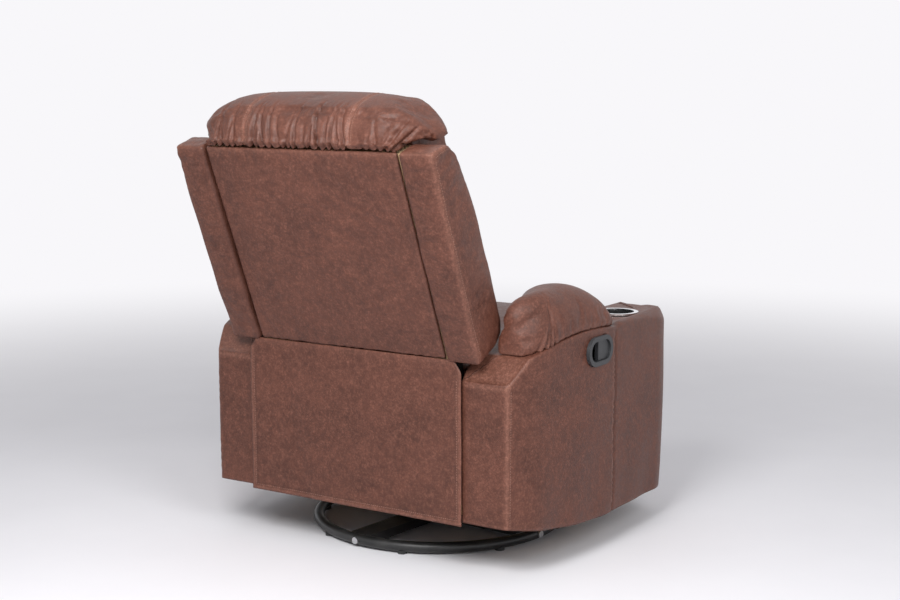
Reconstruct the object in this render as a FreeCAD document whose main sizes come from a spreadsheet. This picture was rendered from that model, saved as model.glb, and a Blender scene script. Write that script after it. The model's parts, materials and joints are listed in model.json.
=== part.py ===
"""Swivel rocker recliner: ring base, ball swivel, rocker, seat on swing links, footrest, back and arms.

The origin is on the swivel axis at the floor. The front faces -Y and the sitter's left is +X.
Lengths are millimetres and angles are degrees.
"""
import FreeCAD
import Part
import Sketcher
import math
import os
import re

SIZES = {
    # Ring base and swivel
    "foot_height": 4,
    "foot_radius": 11,
    "foot_count": 8,
    "ring_radius": 290,
    "ring_tube_radius": 12.5,
    "cross_angle": 5.5,
    "bar_width": 56,
    "bar_height": 20,
    "bar_wall": 3,
    "bolt_radius": 4,
    "bolt_head_radius": 8,
    "bolt_head_height": 5,
    "bolt_length": 45,
    "fit_clearance": 0.05,
    "plate_radius": 110,
    "plate_thickness": 6,
    "ball_radius": 5,
    "ball_track_radius": 85,
    "ball_count": 24,
    "plate_gap": 5,
    "kingpin_radius": 8,
    "kingpin_head_radius": 16,
    "kingpin_head_height": 6,
    "running_gap": 0.3,
    # Rocker
    "beam_height": 24,
    "beam_width": 50,
    "beam_spread": 55,
    "track_thickness": 12,
    "track_half_length": 130,
    "cam_width": 38,
    "cam_nose_radius": 120,
    "cam_nose_half_length": 60,
    "cam_half_length": 125,
    "cam_top_rise": 88,
    "cam_wing_rise": 48,
    "rock_spring_radius": 13,
    "rock_spring_wire": 1.9,
    "rock_spring_turns": 5,
    "rock_spring_offset": 104,
    "rock_spring_seat": 0.75,
    # Mechanism between the arms
    "arm_gap_half": 281,
    "steel_thickness": 4,
    "link_gap": 1,
    "rail_front": 300,
    "rail_rear": 290,
    "rail_low": 135,
    "rail_high": 245,
    "cross_tube_radius": 12,
    "cross_tube_wall": 2,
    "cross_tube_spread": 220,
    "cross_tube_height": 160,
    "pin_radius": 5,
    "pin_head_radius": 8,
    "pin_head_height": 3,
    "link_half_width": 11,
    "seat_link_length": 60,
    "seat_link_lean": 15,
    "seat_link_height": 215,
    "seat_link_spread": 150,
    # Seat
    "seat_rail_front": 295,
    "seat_rail_low": 255,
    "seat_rail_high": 345,
    "recline_y": 300,
    "recline_z": 400,
    "board_thickness": 24,
    "board_depth": 45,
    "seat_front_board": 248,
    "seat_back_board": 215,
    "spring_wire": 1.9,
    "spring_count": 5,
    "spring_spacing": 100,
    "spring_half_width": 22,
    "spring_bend": 9,
    "seat_cushion_base": 350,
    "seat_cushion_top": 490,
    "seat_cushion_front": 385,
    "seat_cushion_rear": 225,
    "seat_cushion_crown": 22,
    "cushion_gap": 6,
    "cushion_draw": 14,
    "cushion_bulge": 2,
    "cushion_inset": 3,
    "cushion_end_inset": 14,
    # Footrest
    "footrest_y": 262,
    "footrest_z": 318,
    "footrest_tube_radius": 9,
    "footrest_link": 200,
    "footrest_fold": 85,
    "ottoman_length": 215,
    "ottoman_board_thickness": 12,
    "ottoman_standoff": 18,
    "ottoman_pad": 57,
    "ottoman_half_width": "=arm_gap_half - 19",
    # Arms
    "arm_back": 342,
    "arm_front": 398,
    "arm_outer": 455,
    "arm_back_outer": "=arm_outer - 59",
    "arm_shoulder": "=arm_outer - 21",
    "arm_shoulder_y": 240,
    "arm_straight_y": 30,
    "arm_corner_radius": "=0.8 * (arm_outer - arm_gap_half)",
    "arm_base_front": 80,
    "arm_base_back": 120,
    "arm_chamfer_z": "=arm_deck_mid - 90",
    "arm_chamfer_y": 290,
    "arm_deck_mid": 514,
    "arm_deck_rear": "=arm_deck_mid - 33",
    "arm_deck_front": "=arm_deck_mid - 7",
    "arm_wall": 10,
    "arm_skin": 3,
    "arm_skin_low": 352,
    "arm_panel": 18,
    "arm_panel_top": "=arm_deck_mid - 44",
    "post_width": 22,
    "post_depth": 46,
    "arm_pad_top": "=arm_deck_mid + 98",
    "arm_pad_front": 45,
    "cup_radius": 43,
    "cup_x": "=arm_gap_half + arm_panel + post_width + cup_radius + 2",
    "cup_y": 215,
    "cup_depth": 72,
    "cup_wall": 2,
    "cup_rim_radius": 51,
    "cup_rim_height": 4,
    # Release handle
    "handle_y": 40,
    "handle_z": "=arm_deck_mid - 49",
    "handle_length": 112,
    "handle_height": 66,
    "handle_flange": 4,
    "handle_lip": 8,
    "handle_depth": 32,
    "handle_wall": 2.5,
    "paddle_thickness": 9,
    "paddle_gap": 1,
    "handle_pin_radius": 2.5,
    "cable_radius": 2.5,
    "paddle_share": 0.56,
    "handle_pivot": 23,
    "cable_bend": "=0.3 * (arm_outer - arm_gap_half)",
    "cable_drop_x": "=arm_outer - handle_depth - cable_bend - 1",
    "latch_arm": 62,
    "latch_z": 190,
    # Back
    "seam_y": 352.6,
    "seam_z": 473.5,
    "back_tilt": 22.18,
    "back_length": 478,
    "panel_half_width": "=arm_gap_half - 30",
    "panel_thickness": 10,
    "wing_inner": "=arm_gap_half - 25",
    "wing_width": "=(arm_outer - arm_gap_half) * 81 / 174",
    "wing_depth": 110,
    "wing_proud": 8,
    "stile_width": 38,
    "stile_depth": 48,
    "webbing_count": 4,
    "webbing_width": 45,
    "webbing_thickness": 2,
    "back_cushion_depth": 100,
    "back_cushion_base": 25,
    "back_cushion_top": 378,
    "headrest_top": 70,
    "headrest_half_width": "=wing_inner + 49",
    "headrest_drop": 92,
    "headrest_front": 178,
    "headrest_middle": 108,
    "headrest_back": 2,
    "headrest_draw": 68,
    "headrest_corner": 85,
    "headrest_swell": 30,
    # Flap behind the seat
    "flap_half_width": "=arm_gap_half + 6",
    "flap_low": 113,
    "flap_thickness": 7,
    "flap_corner": 22,
}

document = FreeCAD.newDocument("SwivelRockerRecliner")
sheet = document.addObject("Spreadsheet::Sheet", "Sizes")
for row, (alias, value) in enumerate(SIZES.items(), start=1):
    sheet.set(f"A{row}", alias)
    sheet.set(f"B{row}", str(value))
    sheet.setAlias(f"B{row}", alias)
document.recompute()

NODES = {}
WORDS = re.compile(r"[a-z][a-z_]*")


def linked(text):
    """An expression on the sheet's aliases, as another object writes it."""
    return WORDS.sub(lambda word: f"Sizes.{word[0]}" if word[0] in SIZES else word[0], str(text))


def size(text):
    """The number that an expression on the sheet's aliases gives."""
    return float(sheet.evalExpression(str(text)))


def bind(thing, attribute, text):
    thing.setExpression(attribute, linked(text))


def node(name, thing):
    """Gives a finished sub-part its name, which is also its file's name."""
    thing.Label = name
    NODES[name] = thing
    return thing


def put(thing, x="0", y="0", z="0", axis=None, angle="0"):
    """Places an object, turned by angle about axis, with every number tied to the sheet."""
    if axis:
        thing.Placement = FreeCAD.Placement(FreeCAD.Vector(), FreeCAD.Rotation(FreeCAD.Vector(*axis), 1))
        bind(thing, "Placement.Rotation.Angle", angle)
    for letter, text in zip("xyz", (x, y, z)):
        bind(thing, f"Placement.Base.{letter}", text)
    return thing


def box(x, y, z):
    """A box between two places along each axis."""
    thing = document.addObject("Part::Box", "Box")
    for attribute, (low, high) in zip(("Length", "Width", "Height"), (x, y, z)):
        bind(thing, attribute, f"({high}) - ({low})")
    return put(thing, x[0], y[0], z[0])


AXES = {"x": ((0, 1, 0), "90"), "y": ((1, 0, 0), "-90"), "z": (None, "0")}


def rod(radius, length, at, along="z"):
    """A cylinder that starts at a place and runs along +X, +Y or +Z."""
    thing = document.addObject("Part::Cylinder", "Rod")
    bind(thing, "Radius", radius)
    bind(thing, "Height", length)
    axis, angle = AXES[along]
    return put(thing, *at, axis=axis, angle=angle)


def ring(radius, tube, z):
    thing = document.addObject("Part::Torus", "Ring")
    bind(thing, "Radius1", radius)
    bind(thing, "Radius2", tube)
    return put(thing, z=z)


def cut(base, *tools):
    for tool in tools:
        result = document.addObject("Part::Cut", "Cut")
        result.Base = base
        result.Tool = tool
        base = result
    return base


def fuse(*things):
    result = document.addObject("Part::MultiFuse", "Fuse")
    result.Shapes = list(things)
    return result


def common(*things):
    result = document.addObject("Part::MultiCommon", "Common")
    result.Shapes = list(things)
    return result


def group(*things):
    """Separate solids that share one node."""
    result = document.addObject("Part::Compound", "Group")
    result.Links = list(things)
    return result


def mirrored(thing):
    """The same piece on the sitter's right."""
    result = document.addObject("Part::Mirroring", "Mirrored")
    result.Source = thing
    result.Normal = FreeCAD.Vector(1, 0, 0)
    return result


def solid(name, shape):
    """A lofted or swept solid, whose sizes were read from the sheet."""
    thing = document.addObject("Part::Feature", name)
    thing.Shape = shape
    return thing


def plane_of(body, role):
    return next(item for item in body.Origin.OriginFeatures if item.Role == role)


def plate(outline, start, thickness, holes=(), role="YZ_Plane"):
    """A flat piece: a sketched outline with round holes, padded from start along the plane's normal."""
    body = document.addObject("PartDesign::Body", "Plate")
    sketch = body.newObject("Sketcher::SketchObject", "Outline")
    sketch.AttachmentSupport = [(plane_of(body, role), "")]
    sketch.MapMode = "FlatFace"
    bind(sketch, "AttachmentOffset.Base.z", start)
    corners = [FreeCAD.Vector(size(a), size(b), 0) for a, b in outline]
    for index, corner in enumerate(corners):
        sketch.addGeometry(Part.LineSegment(corner, corners[(index + 1) % len(corners)]))
    for index, (a, b) in enumerate(outline):
        following = (index + 1) % len(outline)
        sketch.addConstraint(Sketcher.Constraint("Coincident", index, 2, following, 1))
        pin_point(sketch, index, 1, a, b)
    for a, b, radius in holes:
        centre = FreeCAD.Vector(size(a), size(b), 0)
        circle = sketch.addGeometry(Part.Circle(centre, FreeCAD.Vector(0, 0, 1), size(radius)))
        pin_point(sketch, circle, 3, a, b)
        bind_constraint(sketch, Sketcher.Constraint("Radius", circle, size(radius)), radius)
    pad = body.newObject("PartDesign::Pad", "Pad")
    pad.Profile = sketch
    bind(pad, "Length", thickness)
    return body


def bind_constraint(sketch, constraint, text):
    index = sketch.addConstraint(constraint)
    bind(sketch, f"Constraints[{index}]", text)


def pin_point(sketch, geometry, point, a, b):
    """Ties a sketch point's two distances from the origin to the sheet."""
    for kind, text in (("DistanceX", a), ("DistanceY", b)):
        bind_constraint(sketch, Sketcher.Constraint(kind, -1, 1, geometry, point, size(text)), text)


# Heights of the stack from the floor up, as expressions on the sheet
RING_MID = "(foot_height + ring_tube_radius)"
RING_TOP = f"({RING_MID} + ring_tube_radius)"
BAR_LOW = f"({RING_TOP} - bar_height)"
LOWER_TOP = f"({RING_TOP} + plate_thickness)"
BALL_Z = f"({LOWER_TOP} + plate_gap / 2)"
UPPER_LOW = f"({LOWER_TOP} + plate_gap)"
UPPER_TOP = f"({UPPER_LOW} + plate_thickness)"
BEAM_TOP = f"({UPPER_TOP} + beam_height)"
TRACK_TOP = f"({BEAM_TOP} + track_thickness)"
ROCK_Z = f"({TRACK_TOP} + running_gap + cam_nose_radius)"
CAM_WING = f"({TRACK_TOP} + cam_wing_rise)"
CAM_TOP = f"({TRACK_TOP} + cam_top_rise)"

# Places across the chair, from the arm's inner panel towards the middle
RAIL_X = "(arm_gap_half - steel_thickness)"
LINK_X = f"({RAIL_X} - link_gap - steel_thickness)"
SEAT_RAIL_X = f"({LINK_X} - link_gap - steel_thickness)"
DRIVE_X = f"({SEAT_RAIL_X} - link_gap - steel_thickness)"
FRONT_X = f"({DRIVE_X} - link_gap - steel_thickness)"
BRACKET_X = f"({FRONT_X} - link_gap - steel_thickness)"
CAM_X = f"({RAIL_X} - cam_width)"
STILE_X = "(wing_inner - steel_thickness - stile_width)"


def both_sides(name, make):
    """A left piece and its mirror image, each in a node of its own."""
    left = node(f"{name}_left", make())
    node(f"{name}_right", mirrored(left))


def pair(thing):
    """A piece and its mirror image in one group."""
    return group(thing, mirrored(thing))


def tube_cutter():
    return ring("ring_radius", "ring_tube_radius", RING_MID)


def turned(thing):
    """Turns a piece of the ring base with the cross bars."""
    return put(thing, axis=(0, 0, 1), angle="-cross_angle")


# A bolt's shank runs from its tip, inside a bar, to its seat, a little inside the tube's outer face
BOLT_SEAT = "(ring_radius + ring_tube_radius - bolt_head_radius / 4)"
BOLT_TIP = f"({BOLT_SEAT} - bolt_length)"


def bolt_place(along, start):
    return (start, "0", RING_MID) if along == "x" else ("0", start, RING_MID)


def bolt_shank(along, start, clearance="0"):
    """A shank, or with a clearance its hole, that ends inside the bolt's head."""
    length = "bolt_length + bolt_head_height"
    if start.startswith("-"):
        start = f"{start} - bolt_head_height"
    return rod(f"bolt_radius + {clearance}", length, bolt_place(along, start), along)


def bolt_holes(along):
    return [bolt_shank(along, start, "fit_clearance") for start in (BOLT_TIP, f"-{BOLT_SEAT}")]


def base_ring():
    tube = ring("ring_radius", "ring_tube_radius", RING_MID)
    return turned(cut(tube, *bolt_holes("x"), *bolt_holes("y")))


def channel(x, y, along):
    """A folded channel, open below, whose ends follow the ring's tube and hold a bolt."""
    skin = box(x, y, (BAR_LOW, RING_TOP))
    trim = [(f"({low}) + bar_wall", f"({high}) - bar_wall") for low, high in (x, y)]
    hollow_x, hollow_y = (x, trim[1]) if along == "x" else (trim[0], y)
    hollow = box(hollow_x, hollow_y, (BAR_LOW, f"{RING_TOP} - bar_wall"))
    return cut(skin, hollow)


def end_block(low, high, along):
    """The nut block at a bar's end, drilled for the ring's bolt."""
    across = ("-bar_width / 2 + bar_wall", "bar_width / 2 - bar_wall")
    spans = ((low, high), across) if along == "x" else (across, (low, high))
    return box(*spans, (BAR_LOW, f"{RING_TOP} - bar_wall"))


BAR_END = "(ring_radius - ring_tube_radius / 2)"
BLOCK_START = "(ring_radius - ring_tube_radius - bolt_length)"


def base_crossbar():
    width = ("-bar_width / 2", "bar_width / 2")
    bar = channel(width, (f"-{BAR_END}", BAR_END), "y")
    blocks = [end_block(BLOCK_START, BAR_END, "y"), end_block(f"-{BAR_END}", f"-{BLOCK_START}", "y")]
    return turned(cut(fuse(bar, *blocks), tube_cutter(), *bolt_holes("y")))


def base_cross_stubs():
    width = ("-bar_width / 2", "bar_width / 2")
    stubs = []
    for low, high, block in (
        ("bar_width / 2", BAR_END, (BLOCK_START, BAR_END)),
        (f"-{BAR_END}", "-bar_width / 2", (f"-{BAR_END}", f"-{BLOCK_START}")),
    ):
        bar = fuse(channel((low, high), width, "x"), end_block(*block, "x"))
        stubs.append(cut(bar, tube_cutter(), *bolt_holes("x")))
    return turned(group(*stubs))


def base_feet():
    feet = []
    count = int(size("foot_count"))
    for index in range(count):
        turn = f"({index} + 0.5) * 360 / foot_count"
        place = (f"ring_radius * cos({turn})", f"ring_radius * sin({turn})", "0")
        foot = rod("foot_radius", "foot_height + ring_tube_radius / 3", place)
        feet.append(cut(foot, tube_cutter()))
    return turned(group(*feet))


def base_bolts():
    """Bolts through the ring, whose heads follow the tube that they bear on."""
    bolts = []
    sides = ((BOLT_TIP, BOLT_SEAT), (f"-{BOLT_SEAT}", f"-{BOLT_SEAT} - bolt_head_height"))
    for along in "xy":
        for shank_at, head_at in sides:
            head = rod("bolt_head_radius", "bolt_head_height", bolt_place(along, head_at), along)
            bolts.append(fuse(bolt_shank(along, shank_at), cut(head, tube_cutter())))
    return turned(group(*bolts))


def race_plate(low, bore):
    """A round plate with half of the ball race and a central bore."""
    disc = rod("plate_radius", "plate_thickness", ("0", "0", low))
    race = ring("ball_track_radius", "ball_radius + fit_clearance", BALL_Z)
    hole = rod(bore, "plate_thickness + 2", ("0", "0", f"{low} - 1"))
    return cut(disc, race, hole)


def swivel_balls():
    balls = []
    for index in range(int(size("ball_count"))):
        turn = f"{index} * 360 / ball_count"
        ball = document.addObject("Part::Sphere", "Ball")
        bind(ball, "Radius", "ball_radius")
        across, along = f"ball_track_radius * cos({turn})", f"ball_track_radius * sin({turn})"
        balls.append(put(ball, across, along, BALL_Z))
    return group(*balls)


def swivel_kingpin():
    shank = rod("kingpin_radius", f"{UPPER_TOP} + running_gap - {RING_TOP}", ("0", "0", RING_TOP))
    head = rod("kingpin_head_radius", "kingpin_head_height", ("0", "0", f"{UPPER_TOP} + running_gap"))
    return fuse(shank, head)


def rocker_cross_beams():
    beams = []
    for sign in ("", "-"):
        middle = f"{sign}beam_spread"
        span_y = (f"{middle} - beam_width / 2", f"{middle} + beam_width / 2")
        beams.append(box((f"-{RAIL_X}", RAIL_X), span_y, (UPPER_TOP, BEAM_TOP)))
    return group(*beams)


def rocker_track():
    span_y = ("-track_half_length", "track_half_length")
    return box((CAM_X, RAIL_X), span_y, (BEAM_TOP, TRACK_TOP))


def rocker_cam():
    """A hardwood cam, whose round nose is centred on the rocking axis."""
    block = box((CAM_X, RAIL_X), ("-cam_half_length", "cam_half_length"), (CAM_WING, CAM_TOP))
    round_nose = rod("cam_nose_radius", "cam_width", (CAM_X, "0", ROCK_Z), "x")
    span_y = ("-cam_nose_half_length", "cam_nose_half_length")
    nose = common(round_nose, box((CAM_X, RAIL_X), span_y, (BEAM_TOP, CAM_WING)))
    return fuse(block, nose)


def unit(vector):
    return vector / vector.Length


def arc_after(start, direction, end):
    """The arc that leaves start along direction and reaches end."""
    chord = end - start
    middle = start + chord / 2
    ahead = direction * (chord.Length / 2 / math.cos(direction.getAngle(chord)))
    corner = start + ahead
    half = (start - corner).getAngle(middle - corner)
    reach = ahead.Length * (1 - math.sin(half)) / math.cos(half)
    return Part.Arc(start, corner + unit(middle - corner) * reach, end).toShape()


def biarc(start, start_way, end, end_way):
    """Two tangent arcs from start to end that leave and arrive along the given ways."""
    span = end - start
    ways = start_way + end_way
    slope = span.dot(ways)
    spare = 2 * (1 - start_way.dot(end_way))
    reach = (-slope + math.sqrt(slope ** 2 + spare * span.dot(span))) / spare
    first = start + start_way * reach
    second = end - end_way * reach
    joint = (first + second) / 2
    return [arc_after(start, start_way, joint), arc_after(joint, unit(second - first), end)]


def coil(radius, wire, turns, low, high):
    """A coil spring about Z as one unbroken tube, with its least gap to itself printed."""
    rise = (high - low - 2 * wire) / (turns * 2 * math.pi)
    quarter = math.pi / 2

    def point(turn):
        return FreeCAD.Vector(radius * math.cos(turn), radius * math.sin(turn), low + wire + rise * turn)

    def way(turn):
        return unit(FreeCAD.Vector(-radius * math.sin(turn), radius * math.cos(turn), rise))

    last = turns * 4
    lead = way(0) * 2 * wire
    edges = [Part.LineSegment(point(0) - lead, point(0)).toShape()]
    for step in range(last):
        one, two = step * quarter, (step + 1) * quarter
        edges += biarc(point(one), way(one), point(two), way(two))
    end = point(last * quarter)
    edges.append(Part.LineSegment(end, end + way(last * quarter) * 2 * wire).toShape())
    print(f"coil gap {rise * 2 * math.pi - 2 * wire:.2f} mm")
    section = Part.Wire([Part.Circle(point(0) - lead, way(0), wire).toShape()])
    return Part.Wire(edges).makePipeShell([section], True, False)


def rocker_springs():
    low = size(f"{TRACK_TOP} + rock_spring_seat")
    high = size(f"{CAM_WING} - rock_spring_seat")
    turns = int(size("rock_spring_turns"))
    shape = coil(size("rock_spring_radius"), size("rock_spring_wire"), turns, low, high)
    offset = size("rock_spring_offset")
    middle = size(f"{CAM_X} + cam_width / 2")
    copies = []
    for x in (-middle, middle):
        for y in (-offset, offset):
            copies.append(shape.translated(FreeCAD.Vector(x, y, 0)))
    return solid("RockerSprings", Part.Compound(copies))


node("base_ring", base_ring())
node("base_crossbar", base_crossbar())
node("base_cross_stubs", base_cross_stubs())
node("base_feet", base_feet())
node("base_bolts", base_bolts())
node("swivel_lower_plate", race_plate(RING_TOP, "kingpin_radius"))
node("swivel_balls", swivel_balls())
node("swivel_kingpin", swivel_kingpin())
node("swivel_upper_plate", race_plate(UPPER_LOW, "kingpin_radius + fit_clearance"))
node("rocker_cross_beams", rocker_cross_beams())
both_sides("rocker_track", rocker_track)
node("rocker_springs", rocker_springs())
both_sides("rocker_cam", rocker_cam)


def pin(x_low, x_high, y, z, head_at=None):
    """A pivot pin along X; head_at is where its head starts, outside one end."""
    shank = rod("pin_radius", f"({x_high}) - ({x_low})", (x_low, y, z), "x")
    if head_at is None:
        return shank
    return fuse(shank, rod("pin_head_radius", "pin_head_height", (head_at, y, z), "x"))


def link(x, ends, holes):
    """A flat link between two pivots, with round ends and the holes that it needs."""
    (y1, z1), (y2, z2) = ends
    long = f"sqrt((({y2}) - ({y1}))^2 + (({z2}) - ({z1}))^2)"
    bar = document.addObject("Part::Box", "Bar")
    bind(bar, "Length", "steel_thickness")
    bind(bar, "Width", "2 * link_half_width")
    bind(bar, "Height", long)
    turn = f"atan2(({y1}) - ({y2}); ({z2}) - ({z1}))"
    put(
        bar,
        x,
        f"({y1}) - link_half_width * cos({turn})",
        f"({z1}) - link_half_width * sin({turn})",
        axis=(1, 0, 0),
        angle=turn,
    )
    rounds = [rod("link_half_width", "steel_thickness", (x, y, z), "x") for y, z in ends]
    start = f"{x} - steel_thickness"
    drills = [rod(radius, "3 * steel_thickness", (start, y, z), "x") for y, z, radius in holes]
    return cut(fuse(bar, *rounds), *drills)


PIN_HOLE = "(pin_radius + fit_clearance)"
SEAT_LINK_DY = "(seat_link_length * sin(seat_link_lean))"
SEAT_LINK_DZ = "(seat_link_length * cos(seat_link_lean))"
SEAT_PIVOT_Z = f"(seat_link_height + {SEAT_LINK_DZ})"
CABLE_HOLE = ("handle_y", "latch_z", "cable_radius + running_gap")
SEAT_LINK_FEET = {"front": "(-seat_link_spread)", "rear": "seat_link_spread"}


def mechanism_rail():
    outline = [
        ("-rail_front", "rail_low"),
        ("rail_rear", "rail_low"),
        ("rail_rear", "rail_high"),
        ("-rail_front", "rail_high"),
    ]
    holes = [(foot, "seat_link_height", "pin_radius") for foot in SEAT_LINK_FEET.values()]
    holes.append(CABLE_HOLE)
    return plate(outline, RAIL_X, "steel_thickness", holes)


def mechanism_cross_tubes():
    tubes = []
    for y in ("-cross_tube_spread", "cross_tube_spread"):
        place = (f"-{RAIL_X}", y, "cross_tube_height")
        tube = rod("cross_tube_radius", f"2 * {RAIL_X}", place, "x")
        bore = rod("cross_tube_radius - cross_tube_wall", f"2 * {RAIL_X}", place, "x")
        tubes.append(cut(tube, bore))
    return group(*tubes)


def seat_links(foot):
    ends = ((foot, "seat_link_height"), (f"{foot} + {SEAT_LINK_DY}", SEAT_PIVOT_Z))
    return pair(link(LINK_X, ends, [(y, z, PIN_HOLE) for y, z in ends]))


def seat_link_pins_lower():
    """Pins riveted in the mechanism rails, with heads inside the links."""
    pins = []
    for foot in SEAT_LINK_FEET.values():
        head = f"{LINK_X} - pin_head_height - running_gap"
        one = pin(head, "arm_gap_half", foot, "seat_link_height", head)
        pins += [one, mirrored(one)]
    return group(*pins)


def seat_link_pins_upper():
    """Pins riveted in the seat rails, with heads outside the links."""
    pins = []
    for foot in SEAT_LINK_FEET.values():
        head = f"{LINK_X} + steel_thickness + running_gap"
        one = pin(SEAT_RAIL_X, f"{head} + pin_head_height", f"{foot} + {SEAT_LINK_DY}", SEAT_PIVOT_Z, head)
        pins += [one, mirrored(one)]
    return group(*pins)


SEAT_REAR_FOOT = f"(seat_link_spread + {SEAT_LINK_DY} + 2 * link_half_width)"


def seat_rail():
    outline = [
        ("-seat_rail_front", "seat_rail_low"),
        (SEAT_REAR_FOOT, "seat_rail_low"),
        ("recline_y + 2 * link_half_width", "recline_z - link_half_width"),
        ("recline_y + 2 * link_half_width", "recline_z + 2 * link_half_width"),
        ("recline_y - 2 * link_half_width", "recline_z + 2 * link_half_width"),
        ("seat_back_board + board_thickness", "seat_rail_high"),
        ("-seat_rail_front", "seat_rail_high"),
    ]
    holes = [(f"{foot} + {SEAT_LINK_DY}", SEAT_PIVOT_Z, "pin_radius") for foot in SEAT_LINK_FEET.values()]
    holes.append(("recline_y", "recline_z", "pin_radius"))
    holes.append(("-footrest_y", "footrest_z", "footrest_tube_radius + fit_clearance"))
    return plate(outline, SEAT_RAIL_X, "steel_thickness", holes)


def seat_cross_rails():
    height = ("seat_rail_high - board_depth", "seat_rail_high")
    across = (f"-{SEAT_RAIL_X}", SEAT_RAIL_X)
    front = box(across, ("-seat_front_board", "-seat_front_board + board_thickness"), height)
    back = box(across, ("seat_back_board", "seat_back_board + board_thickness"), height)
    return group(front, back)


def recline_pins():
    """Shouldered pins from the seat rails to the back's brackets."""
    head = "wing_inner - steel_thickness - pin_head_height - running_gap"
    shank = pin(head, f"{SEAT_RAIL_X} + steel_thickness", "recline_y", "recline_z", head)
    shoulder_low = "wing_inner + running_gap"
    shoulder_place = (shoulder_low, "recline_y", "recline_z")
    shoulder = rod("pin_head_radius", f"{SEAT_RAIL_X} - ({shoulder_low})", shoulder_place, "x")
    return pair(fuse(shank, shoulder))


def seat_spring_path(x, y_low, y_high, z):
    """A sinuous spring's centre line: cross runs joined by half turns, each of two quarter arcs."""
    half = size("spring_half_width")
    bend = size("spring_bend")
    runs = int((y_high - y_low) / (2 * bend)) + 1
    pitch = (y_high - y_low) / (runs - 1)
    edges = []
    side = 1
    for run in range(runs):
        y = y_low + run * pitch
        near, far = x - side * half, x + side * half
        edges.append(Part.LineSegment(FreeCAD.Vector(near, y, z), FreeCAD.Vector(far, y, z)).toShape())
        if run < runs - 1:
            start = FreeCAD.Vector(far, y, z)
            tip = FreeCAD.Vector(far + side * pitch / 2, y + pitch / 2, z)
            end = FreeCAD.Vector(far, y + pitch, z)
            edges.append(arc_after(start, FreeCAD.Vector(side, 0, 0), tip))
            edges.append(arc_after(tip, FreeCAD.Vector(0, 1, 0), end))
        side = -side
    return edges


def seat_springs():
    wire = size("spring_wire")
    z = size("seat_rail_high + running_gap + spring_wire")
    y_low = size("-seat_front_board + board_thickness / 2")
    y_high = size("seat_back_board + board_thickness / 2")
    edges = seat_spring_path(0, y_low, y_high, z)
    start = edges[0].Vertexes[0].Point
    section = Part.Wire([Part.Circle(start, FreeCAD.Vector(1, 0, 0), wire).toShape()])
    shape = Part.Wire(edges).makePipeShell([section], True, False)
    count = int(size("spring_count"))
    first = -(count - 1) / 2 * size("spring_spacing")
    places = [FreeCAD.Vector(first + index * size("spring_spacing"), 0, 0) for index in range(count)]
    return solid("SeatSprings", Part.Compound([shape.translated(place) for place in places]))


FOLD_Y = "(footrest_link * cos(footrest_fold))"
FOLD_Z = "(footrest_link * sin(footrest_fold))"
KNEE = (f"(-footrest_y - {FOLD_Y})", f"(footrest_z - {FOLD_Z})")
TOE = (f"(-footrest_y - 2 * {FOLD_Y})", "footrest_z")
BOARD_BACK = f"({TOE[0]} - ottoman_standoff)"
BOARD_FACE = f"({BOARD_BACK} - ottoman_board_thickness)"


def footrest_drive_links():
    """Links fixed on the torque tube; each carries the knee's rivet."""
    ends = (("-footrest_y", "footrest_z"), KNEE)
    holes = [("-footrest_y", "footrest_z", "footrest_tube_radius")]
    flat = link(DRIVE_X, ends, holes)
    inner = f"{FRONT_X} - running_gap - pin_head_height"
    return pair(fuse(flat, pin(inner, f"{DRIVE_X} + steel_thickness", *KNEE, inner)))


def footrest_torque_tube():
    reach = f"({SEAT_RAIL_X} + steel_thickness)"
    place = (f"-{reach}", "-footrest_y", "footrest_z")
    tube = rod("footrest_tube_radius", f"2 * {reach}", place, "x")
    return cut(tube, rod("footrest_tube_radius - cross_tube_wall", f"2 * {reach}", place, "x"))


def footrest_front_links():
    """Links from the knee to the toe; each carries the toe's rivet."""
    flat = link(FRONT_X, (KNEE, TOE), [(*KNEE, PIN_HOLE)])
    inner = f"{BRACKET_X} - running_gap - pin_head_height"
    return pair(fuse(flat, pin(inner, f"{FRONT_X} + steel_thickness", *TOE, inner)))


def ottoman_brackets():
    """Hinge plates on the back of the footrest board."""
    low = "footrest_z - ottoman_length * 0.7"
    outline = [
        (BOARD_BACK, low),
        (f"{TOE[0]} + link_half_width", "footrest_z - link_half_width"),
        (f"{TOE[0]} + link_half_width", "footrest_z + link_half_width"),
        (BOARD_BACK, "footrest_z + link_half_width"),
    ]
    return pair(plate(outline, BRACKET_X, "steel_thickness", [(*TOE, PIN_HOLE)]))


OTTOMAN_TOP = "(footrest_z + link_half_width)"
OTTOMAN_LOW = "(footrest_z + link_half_width - ottoman_length)"


def ottoman_board():
    width = ("-ottoman_half_width", "ottoman_half_width")
    return box(width, (BOARD_FACE, BOARD_BACK), (OTTOMAN_LOW, OTTOMAN_TOP))


both_sides("mechanism_rail", mechanism_rail)
node("mechanism_cross_tubes", mechanism_cross_tubes())
node("seat_links_front", seat_links(SEAT_LINK_FEET["front"]))
node("seat_links_rear", seat_links(SEAT_LINK_FEET["rear"]))
node("seat_link_pins_lower", seat_link_pins_lower())
node("seat_link_pins_upper", seat_link_pins_upper())
both_sides("seat_rail", seat_rail)
node("seat_cross_rails", seat_cross_rails())
node("recline_pins", recline_pins())
node("seat_springs", seat_springs())
node("footrest_drive_links", footrest_drive_links())
node("footrest_torque_tube", footrest_torque_tube())
node("footrest_front_links", footrest_front_links())
node("ottoman_brackets", ottoman_brackets())
node("ottoman_board", ottoman_board())


def loop(points):
    """A closed wire of (corner, middle) pairs: an arc through the middle, or a line where it is None."""
    edges = []
    for (corner, middle), (following, _) in zip(points, points[1:] + points[:1]):
        if middle is None:
            edges.append(Part.LineSegment(corner, following).toShape())
        else:
            edges.append(Part.Arc(corner, middle, following).toShape())
    return Part.Wire(edges)


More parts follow.
